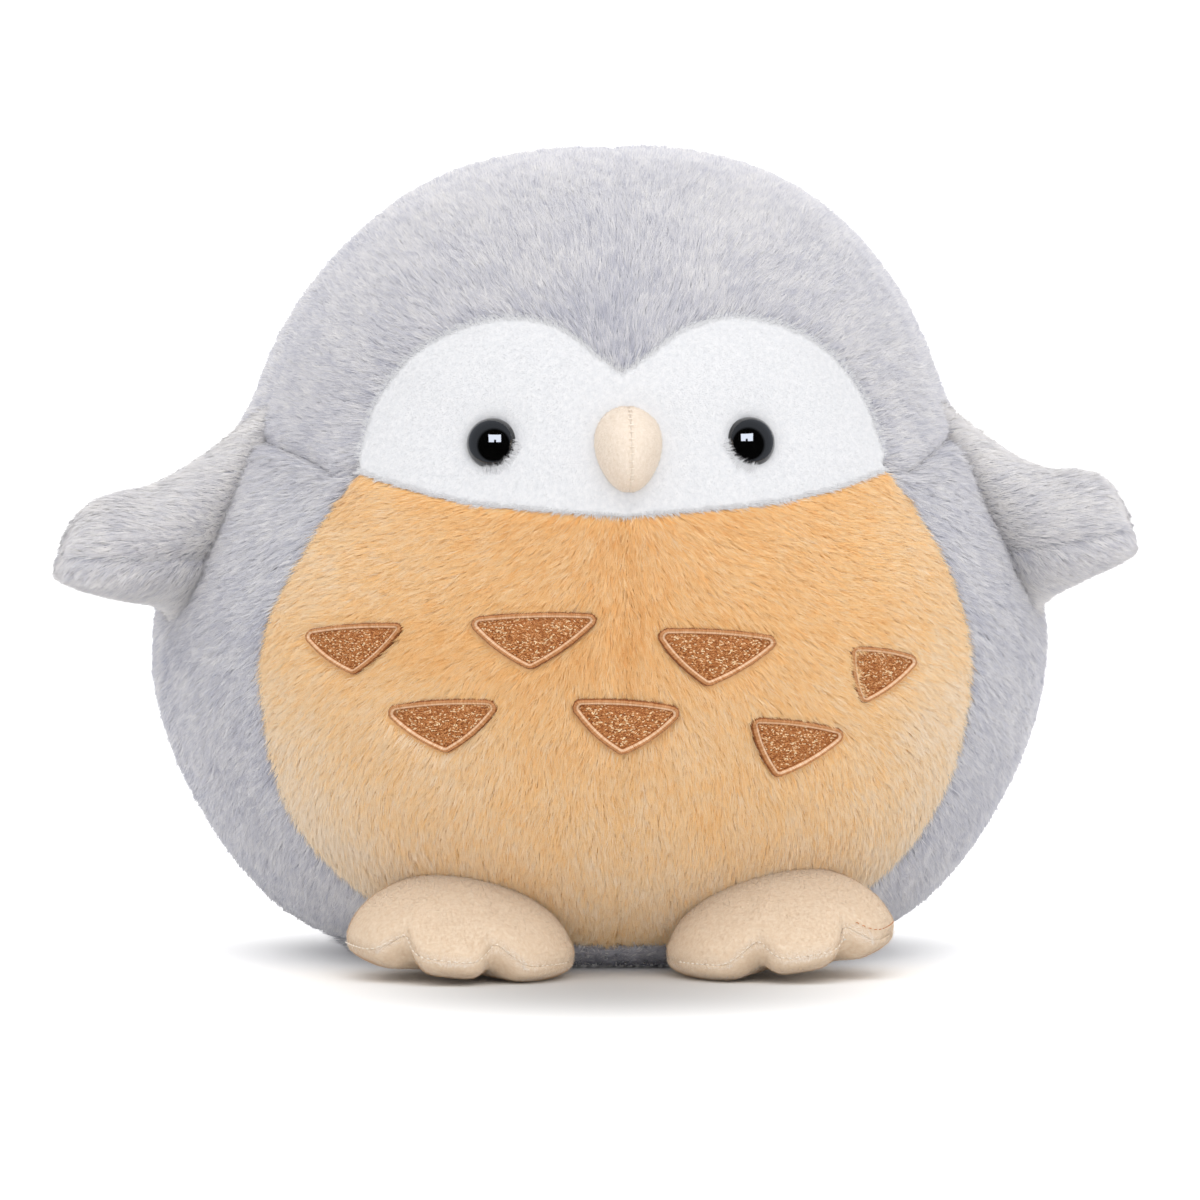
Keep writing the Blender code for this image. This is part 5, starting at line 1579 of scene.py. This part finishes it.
@dataclass
class Wing:
    """A stuffed flipper of an upper and a lower panel, pinched flat where it enters the side seam."""

    finishes: Finishes
    side: Side
    reach: float
    sweep: float
    thickness: float = 0.030
    turn: float = 78.0
    top: float = 0.692
    bottom: float = 0.432
    upper: float = 0.675
    stations: tuple = (
        (1.0, 0.0, 0.0, 0.0),
        (0.975, 0.38, 0.235, 0.24),
        (0.90, 0.64, 0.35, 0.38),
        (0.76, 0.86, 0.405, 0.48),
        (0.58, 0.98, 0.455, 0.575),
        (0.40, 1.0, 0.58, 0.66),
        (0.24, 0.92, 0.75, 0.74),
        (0.11, 0.78, 0.91, 0.86),
        (0.0, 0.55, 1.0, 1.0),
        (-0.12, 0.40, 0.9, 0.9),
        (-0.20, 0.0, 0.0, 0.0),
    )

    def frame(self) -> tuple[Array, Array, Array, Array, float]:
        """The middle of its root, its directions out, down and forward, and the root's length."""
        turn = self.side.value * math.radians(self.turn)
        heights = (self.top, self.bottom, (self.top + self.bottom) / 2)
        places = np.array([(turn, float(FORM.latitude_at(height))) for height in heights])
        top, bottom, _ = FORM.skin(places)
        down = unit(bottom - top)
        normal = FORM.normal(places)[2]
        outward = unit(normal - down * (normal @ down))
        forward = np.cross(outward, down)
        forward = forward * -np.sign(forward[1])
        length = float(np.linalg.norm(bottom - top))
        return (top + bottom) / 2, outward, down, forward, length

    def seam(self, share: Array | float) -> Array:
        """Points of the line from the middle of the root to the tip."""
        middle, outward, down, _, length = self.frame()
        start = middle + down * length * (self.upper - 0.5)
        return start + np.multiply.outer(share, outward * self.reach + down * self.sweep)

    def surface(self, place: Array, round_it: Array) -> tuple[Array, Array]:
        """Points of the flipper at a station and a turn round it, and of the line inside it."""
        _, _, down, forward, length = self.frame()
        found = smooth_curve(np.array(self.stations), place.ravel())
        out, thick, above, below = (column.reshape(place.shape) for column in found.T)
        tall = np.where(np.sin(round_it) > 0, above * self.upper, below * (1 - self.upper)) * length
        section = (thick * self.thickness / 2 * np.cos(round_it))[..., None] * forward
        section = section - (tall * np.sin(round_it))[..., None] * down
        line = self.seam(out)
        return line + section, line

    def build(self) -> None:
        """Makes both panels and their pile."""
        middle, outward, _, forward, _ = self.frame()
        line = unit(self.seam(1.0) - self.seam(0.0))
        upward = np.cross(line, forward)
        upward = upward * np.sign(upward[2])
        word = self.side.word
        for part, first in (("upper", 0.0), ("lower", math.pi)):
            places = np.concatenate((np.linspace(0, 1, 7)[:-1] ** 1.5, np.linspace(1, 8.2, 40)))
            turns = np.linspace(first, first + math.pi, 49)
            points, line_points = self.surface(*np.meshgrid(places, turns, indexing="ij"))
            gap = np.abs((points - self.seam(0.0)) @ upward)
            drawn = 0.0013 * np.exp(-((gap / 0.0022) ** 2)) - 0.0004
            drawn -= 0.0006 * STUFFING.at(points.reshape(-1, 3), 0.020).reshape(gap.shape)
            toward = unit(line_points - points)
            points = points + toward * drawn[..., None]
            sheet = grid_sheet(points, gap, False)
            sheet = self.facing_out(sheet, line_points)
            skin = sew(
                f"wing_{word}_{part}_fabric",
                [f"wing_{word}_{part}_panel"],
                sheet,
                self.finishes.grey_knit,
                0.0018,
            )
            tone = self.lit_upper_tone if part == "upper" else self.shaded_lower_tone
            look = PileLook(self.finishes.grey_pile, tone, 0.40, 0.12, (self.tip_trim,))
            nap = self.upper_nap if part == "upper" else self.lower_nap
            pile = Pile(12.0, 0.0042, 0.00022, 0.30, 0.0009, 0.38, 16.0, 0.0, 0.3)
            grown = pile.grow(
                f"wing_{word}_{part}_pile", sheet, nap, look, 90 + self.side.value + (part == "lower") * 4
            )
            for made in (skin, grown):
                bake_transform(made)

    def facing_out(self, sheet: Sheet, line_points: Array) -> Sheet:
        """The sheet with its triangles turned to face away from the flipper's middle."""
        middle = line_points.reshape(-1, 3).mean(0)
        if ((sheet.points - middle) * sheet.normals).sum() < 0:
            sheet.faces = sheet.faces[:, ::-1].copy()
        return sheet

    def lit_upper_tone(self, roots: Array, gap: Array) -> Array:
        """Pale on top: painted light on the upper panel."""
        return self.edged_with_painted_light(0.70, roots, gap)

    def shaded_lower_tone(self, roots: Array, gap: Array) -> Array:
        """A little deeper below: painted shade on the lower panel."""
        return self.edged_with_painted_light(0.66, roots, gap)

    def edged_with_painted_light(self, shade: float, roots: Array, gap: Array) -> Array:
        """A shade made deeper beside the seam, a little uneven, and paler at the root: painted shade in the
        seam, painted light in the fold.
        """
        deeper = 0.10 * np.exp(-((gap / 0.003) ** 2))
        return shade - deeper + 0.05 * SHADING.at(roots, 0.014) + self.painted_fold_and_rim_light(roots)

    def painted_fold_and_rim_light(self, roots: Array) -> Array:
        """Paler in the fold at the root and along the flipper's edge: painted light over the fold's shade and
        on the rim.
        """
        middle, outward, _, forward, _ = self.frame()
        fold = 0.14 * np.exp(-((((roots - middle) @ outward) / 0.008) ** 2))
        return fold + 0.12 * np.exp(-((((roots - middle) @ forward) / 0.005) ** 2))

    def tip_trim(self, roots: Array, gap: Array) -> Array:
        """Shortens the pile at the tip, where two panels' fibres meet."""
        return 1 - 0.45 * np.exp(-((np.linalg.norm(roots - self.seam(1.0), axis=1) / 0.007) ** 2))

    def upper_nap(self, roots: Array) -> Array:
        """Towards the tip."""
        return np.tile(self.seam(1.0) - self.seam(0.0), (len(roots), 1))

    def lower_nap(self, roots: Array) -> Array:
        """Down and towards the tip."""
        _, outward, down, _, _ = self.frame()
        return np.tile(outward * 0.6 + down, (len(roots), 1))


@dataclass
class Foot:
    """A stuffed three-toed foot of an upper and a sole, sewn on at the heel."""

    finishes: Finishes
    side: Side
    roll: float
    length: float = 0.054
    width: float = 0.055
    height: float = 0.0218
    spacing: float = 0.069
    seam_height: float = 0.0042
    turn: float = 10.0
    roll_share: float = 0.72
    front_share: float = 0.55
    slope: float = 0.36
    notch: float = 0.17
    seam_rise: float = 0.0045
    notch_turn: float = 27.0
    notch_spread: float = 9.0
    sole_round: float = 1.6

    def frame(self) -> tuple[Array, Array, Array]:
        """The heel on the floor, and the directions forward and sideways."""
        _, width, depth = FORM.profile(FORM.latitude_at(0.036))[0]
        across = self.spacing / 2
        heel = np.array((self.side.value * across, -depth * math.sqrt(1 - (across / width) ** 2), 0.0))
        turn = self.side.value * math.radians(self.turn)
        forward = np.array((math.sin(turn), -math.cos(turn), 0.0))
        return heel, forward, np.array((math.cos(turn), math.sin(turn), 0.0))

    def surface(self, from_pole: Array, round_pole: Array) -> Array:
        """Points of the foot: a dome over three toes above the seam, a flat sole below it."""
        heel, forward, sideways = self.frame()
        front, rear = self.length * self.front_share, self.length * (1 - self.front_share)
        middle = heel + forward * rear
        roll = self.side.value * math.tan(math.radians(self.roll))
        ahead, aside = np.cos(round_pole), np.sin(round_pole)
        half = np.where(ahead > 0, front, rear)
        reach = 1 / np.hypot(ahead / half, aside / (self.width / 2))
        degrees = np.degrees((round_pole + math.pi) % (2 * math.pi) - math.pi)
        notch = sum(
            np.exp(-(((degrees - at) / self.notch_spread) ** 2)) for at in (-self.notch_turn, self.notch_turn)
        )
        valley = notch * np.sin(from_pole) ** 2
        out = reach * np.sin(from_pole) * (1 - self.notch * valley)
        rise = np.cos(from_pole)
        top = (self.height - self.seam_height) * rise * (1 - self.slope * out * ahead / half)
        top *= 1 - self.notch * valley
        high = self.seam_height + np.where(rise > 0, top, self.seam_height * self.sole_round * rise)
        high = np.maximum(high, 0.0) + self.seam_rise * valley
        offset = out * aside
        high += np.maximum(offset * roll + self.width / 2 * self.roll_share * abs(roll), 0.0)
        flat = middle + (out * ahead)[..., None] * forward + offset[..., None] * sideways
        flat[..., 2] = high
        return flat

    def build(self) -> None:
        """Makes the upper and the sole with their pile."""
        heel, forward, _ = self.frame()
        word = self.side.word
        turns = np.linspace(0, 2 * math.pi, 144, endpoint=False)
        rim = self.surface(np.full(144, math.pi / 2), turns)
        for part, poles in (
            ("upper", np.linspace(0, math.pi / 2, 44)), ("sole", np.linspace(math.pi, math.pi / 2, 34))
        ):
            points = self.surface(*np.meshgrid(poles, turns, indexing="ij"))
            gap = np.linalg.norm(points - rim, axis=2)
            sheet = grid_sheet(points, gap, True)
            if (sheet.normals[:, 2].mean() > 0) != (part == "upper"):
                sheet.faces = sheet.faces[:, ::-1].copy()
            drawn = 0.0004 * np.exp(-((sheet.gap / 0.0014) ** 2)) - 0.0004 * STUFFING.at(sheet.points, 0.012)
            middle = heel + forward * self.length * (1 - self.front_share)
            toward = unit((middle - sheet.points) * (1, 1, 0))
            if part == "upper":
                sheet.points = sheet.points + toward * (drawn * (sheet.gap < 0.004))[:, None]
            else:
                sheet.points = sheet.points + toward * (
                    0.0004 * np.exp(-((sheet.gap / 0.0014) ** 2))
                )[:, None]
            _, out = FORM.locate(sheet.points)
            sheet = sheet.without(out < 0.96)
            skin = sew(
                f"foot_{word}_{part}_fabric",
                [f"foot_{word}_{part}_panel"],
                sheet,
                self.finishes.peach_knit,
                0.0014,
            )
            look = PileLook(self.finishes.peach_pile, self.tone, 0.10, 0.07, (self.edge_trim,))
            pile = Pile(11.0, 0.0009, 0.00013, 0.36, 0.0008, 0.1, 18.0)
            grown = pile.grow(
                f"foot_{word}_{part}_pile",
                sheet,
                self.nap,
                look,
                110 + self.side.value + (part == "sole") * 4,
            )
            for made in (skin, grown):
                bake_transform(made)
        self.build_stitches(rim, turns)

    def build_stitches(self, rim: Array, turns: Array) -> None:
        """The toe seam's stitches, with a stronger thread on the right foot's outer toe."""
        word, middle = self.side.word, rim.mean(0)
        degrees = np.degrees((turns + math.pi) % (2 * math.pi) - math.pi)
        along = unit(np.roll(rim, -1, axis=0) - np.roll(rim, 1, axis=0))
        away = unit((rim - middle) * (1, 1, 0)) + (0, 0, 0.5)
        outer = (self.side is Side.RIGHT) & (degrees > 30) & (degrees < 68)
        above = self.surface(np.full(len(turns), math.radians(80)), turns)
        for kind, kept, rim, finish in (
            ("stitches", (np.abs(degrees) < 75) & ~outer, rim, self.finishes.peach_thread),
            ("mend", outer, above, self.finishes.toe_thread),
        ):
            picked = np.flatnonzero(kept)
            if not len(picked):
                continue
            picked = picked[np.argsort(degrees[picked])]
            run = np.concatenate(([0.0], np.cumsum(np.linalg.norm(np.diff(rim[picked], axis=0), axis=1))))
            wanted = np.arange(0.0, run[-1], 0.0017)
            at, line, out = (
                np.stack(
                    [np.interp(wanted, run, row[picked, axis]) for axis in range(3)], 1
                ) for row in (rim, along, away)
            )
            line, out = unit(line), unit(out)
            made = thread_stitches(f"foot_{word}_{kind}", at + out * 0.0006, line, out, 0.0009, 0.00014)
            finish.assign(made)
            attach(made, f"foot_{word}")

    def tone(self, roots: Array, gap: Array) -> Array:
        """Paler along the toe seam: a painted sheen."""
        return 0.42 + 0.56 * np.exp(-((gap / 0.0030) ** 2)) + 0.07 * SHADING.at(roots, 0.008)

    def edge_trim(self, roots: Array, gap: Array) -> Array:
        """Lengthens the fibres at the toe seam, which they cover."""
        return 1 + 0.6 * np.exp(-gap / 0.0010)

    def nap(self, roots: Array) -> Array:
        """Forward and down."""
        heel, forward, _ = self.frame()
        return (roots - heel) * (1, 1, 0) + forward * 0.01 - np.array((0, 0, 0.01))


@dataclass
class Studio:
    """A white sweep lit by a broad soft sky and a large soft light above the camera; its floor has a painted
    shadow, and reflections show a painted softbox.
    """

    turn: float = 3.8
    drop: float = 4.0
    distance: float = 6.0
    across: float = 0.294
    target: tuple = (0.0, 0.0, 0.0862)
    floor_gain: float = 1.7
    # The painted shadow on the floor: its middle, size and depth
    painted_shadow_middle: tuple = (-0.006, -0.12, 0.0)
    painted_shadow_size: tuple = (0.10, 0.125, 1.0)
    painted_shadow_depth: float = 0.70

    def build(self) -> None:
        """Makes the camera, the floor, the sky and the light."""
        self.build_camera()
        self.build_floor()
        self.build_sky()
        self.build_light("key", (0.2, -1.1, 1.9), 1.5, 6.0)
        self.build_light("fill", (0.5, -2.5, 0.5), 2.0, 9.0)
        scene = bpy.context.scene
        scene.render.resolution_x = scene.render.resolution_y = 1200
        scene.view_settings.view_transform = "Standard"

    def build_camera(self) -> None:
        """A long lens, almost level, a little to the toy's left."""
        a, e = math.radians(self.turn), math.radians(self.drop)
        forward = Vector((math.cos(e) * math.sin(a), math.cos(e) * math.cos(a), -math.sin(e)))
        data = bpy.data.cameras.new("camera")
        data.lens = data.sensor_width * self.distance / self.across
        data.clip_end = 60.0
        camera = bpy.data.objects.new("camera", data)
        camera.location = Vector(self.target) - forward * self.distance
        camera.rotation_euler = forward.to_track_quat("-Z", "Y").to_euler()
        bpy.context.scene.collection.objects.link(camera)
        bpy.context.scene.camera = camera

    def build_floor(self) -> None:
        """A broad matt white floor, which keeps the contact shadow and has a painted soft shadow in front of
        the toy.
        """
        bpy.ops.mesh.primitive_plane_add(size=60)
        floor = bpy.context.object
        floor.name = "floor"
        material = bpy.data.materials.new("matt white sweep")
        material.use_nodes = True
        tree = material.node_tree
        tree.nodes.clear()
        path = add_node(tree, "ShaderNodeLightPath")
        paper = add_node(tree, "ShaderNodeBsdfDiffuse", {"Color": linear("F0F0F0")})
        # A painted soft round shadow in front of the toy, where a lamp behind it would cast one
        place = add_node(tree, "ShaderNodeTexCoord")
        shift = {0: place.outputs["Object"], 1: self.painted_shadow_middle}
        moved = add_node(tree, "ShaderNodeVectorMath", shift, operation="SUBTRACT")
        shares = add_node(
            tree, "ShaderNodeVectorMath", {0: moved.outputs[0], 1: self.painted_shadow_size}, operation="DIVIDE"
        )
        both = {0: shares.outputs[0], 1: shares.outputs[0]}
        square = add_node(tree, "ShaderNodeVectorMath", both, operation="DOT_PRODUCT")
        below = maths(tree, "MULTIPLY", square.outputs["Value"], -1.0)
        fall = maths(tree, "EXPONENT", below)
        painted_shadow = maths(tree, "MULTIPLY", fall, self.painted_shadow_depth * self.floor_gain)
        gain = maths(tree, "SUBTRACT", self.floor_gain, painted_shadow)
        lit = add_node(tree, "ShaderNodeBsdfDiffuse", {"Color": gain})
        pair = {0: path.outputs["Is Camera Ray"], 1: paper.outputs[0], 2: lit.outputs[0]}
        mixed_light = add_node(tree, "ShaderNodeMixShader", pair)
        add_node(tree, "ShaderNodeOutputMaterial", {"Surface": mixed_light.outputs[0]})
        floor.data.materials.append(material)
        floor.visible_glossy = False

    def build_sky(self) -> None:
        """White all round for the light; in reflections only, a painted studio that is dark round the camera,
        with a painted softbox above it that casts no light.
        """
        world = bpy.data.worlds.new("studio")
        bpy.context.scene.world = world
        world.use_nodes = True
        tree = world.node_tree
        tree.nodes.clear()
        path = add_node(tree, "ShaderNodeLightPath")
        seen = add_node(tree, "ShaderNodeBackground", {"Color": linear("FEFEFE"), "Strength": 1.0})
        place = add_node(tree, "ShaderNodeTexCoord")
        split = add_node(tree, "ShaderNodeSeparateXYZ", {"Vector": place.outputs["Generated"]})
        high = add_node(
            tree, "ShaderNodeMapRange", {"Value": split.outputs["Z"], "To Min": 0.92, "To Max": 1.28}
        )
        light_inputs = {"Color": linear("FFFFFF"), "Strength": high.outputs["Result"]}
        light = add_node(tree, "ShaderNodeBackground", light_inputs)
        # Painted reflection: dark round the camera, a dim grey further out
        ahead = add_node(
            tree,
            "ShaderNodeMapRange",
            {"Value": split.outputs["Y"], "From Min": -0.55, "From Max": -0.38, "To Max": 0.5},
        )
        painted_softbox = self.painted_softbox(tree, split)
        bright = maths(tree, "ADD", ahead.outputs["Result"], painted_softbox)
        mirror_inputs = {"Color": linear("E8F0FF"), "Strength": bright}
        mirror = add_node(tree, "ShaderNodeBackground", mirror_inputs)
        first = add_node(
            tree,
            "ShaderNodeMixShader",
            {0: path.outputs["Is Glossy Ray"], 1: light.outputs[0], 2: mirror.outputs[0]},
        )
        second = add_node(
            tree,
            "ShaderNodeMixShader",
            {0: path.outputs["Is Camera Ray"], 1: first.outputs[0], 2: seen.outputs[0]},
        )
        add_node(tree, "ShaderNodeOutputWorld", {"Surface": second.outputs[0]})

    def painted_softbox(self, tree: bpy.types.NodeTree, split: bpy.types.Node) -> bpy.types.NodeSocket:
        """The strength of the painted softbox seen in reflections: a wide box above the camera with a notch
        below; it casts no light.
        """
        parts = []
        for axis, middle, half in (("X", 0.0, 0.34), ("Z", 0.42, 0.19), ("X", 0.0, 0.06), ("Z", 0.26, 0.10)):
            off = maths(tree, "SUBTRACT", split.outputs[axis], middle)
            away = maths(tree, "ABSOLUTE", off)
            within = maths(tree, "LESS_THAN", away, half)
            parts.append(within)
        box = maths(tree, "MULTIPLY", parts[0], parts[1])
        notch = maths(tree, "MULTIPLY", parts[2], parts[3])
        shape = maths(tree, "SUBTRACT", box, notch)
        front = maths(tree, "LESS_THAN", split.outputs["Y"], 0.0)
        kept = maths(tree, "MULTIPLY", shape, front)
        clear = maths(tree, "MAXIMUM", kept, 0.0)
        return maths(tree, "MULTIPLY", clear, 12.0)

    def build_light(self, name: str, place: tuple, size: float, power: float) -> None:
        """A square soft light that faces the toy."""
        data = bpy.data.lights.new(name, "AREA")
        data.size = size
        data.energy = power
        lamp = bpy.data.objects.new(name, data)
        lamp.location = place
        lamp.rotation_euler = (Vector((0, 0, 0.09)) - Vector(place)).to_track_quat("-Z", "Y").to_euler()
        lamp.visible_glossy = False
        bpy.context.scene.collection.objects.link(lamp)


def dress_inside(finishes: Finishes) -> None:
    """Gives the fillings and the washers, which stay as the frame has them, their finishes."""
    for name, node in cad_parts.items():
        if name.endswith("_filling"):
            finishes.wadding.assign(node)
        elif "washer" in name:
            finishes.washer.assign(node)


def main() -> None:
    """Builds the toy's looks over the frame."""
    logging.basicConfig(level=logging.INFO, format="%(name)s: %(message)s")
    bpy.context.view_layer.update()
    finishes = Finishes()
    eyes, beak, patches = Eyes(finishes), Beak(finishes), Patches(finishes)
    wings = [Wing(finishes, Side.LEFT, 0.0345, 0.0160), Wing(finishes, Side.RIGHT, 0.0322, 0.0088)]
    feet = [Foot(finishes, Side.LEFT, 5.5), Foot(finishes, Side.RIGHT, 8.0)]
    for part in (Body(finishes, eyes, beak, patches), beak, eyes, patches, *wings, *feet):
        part.build()
        log.info("%s done", type(part).__name__)
    dress_inside(finishes)
    Studio().build()


if __name__ == "__main__":
    main()
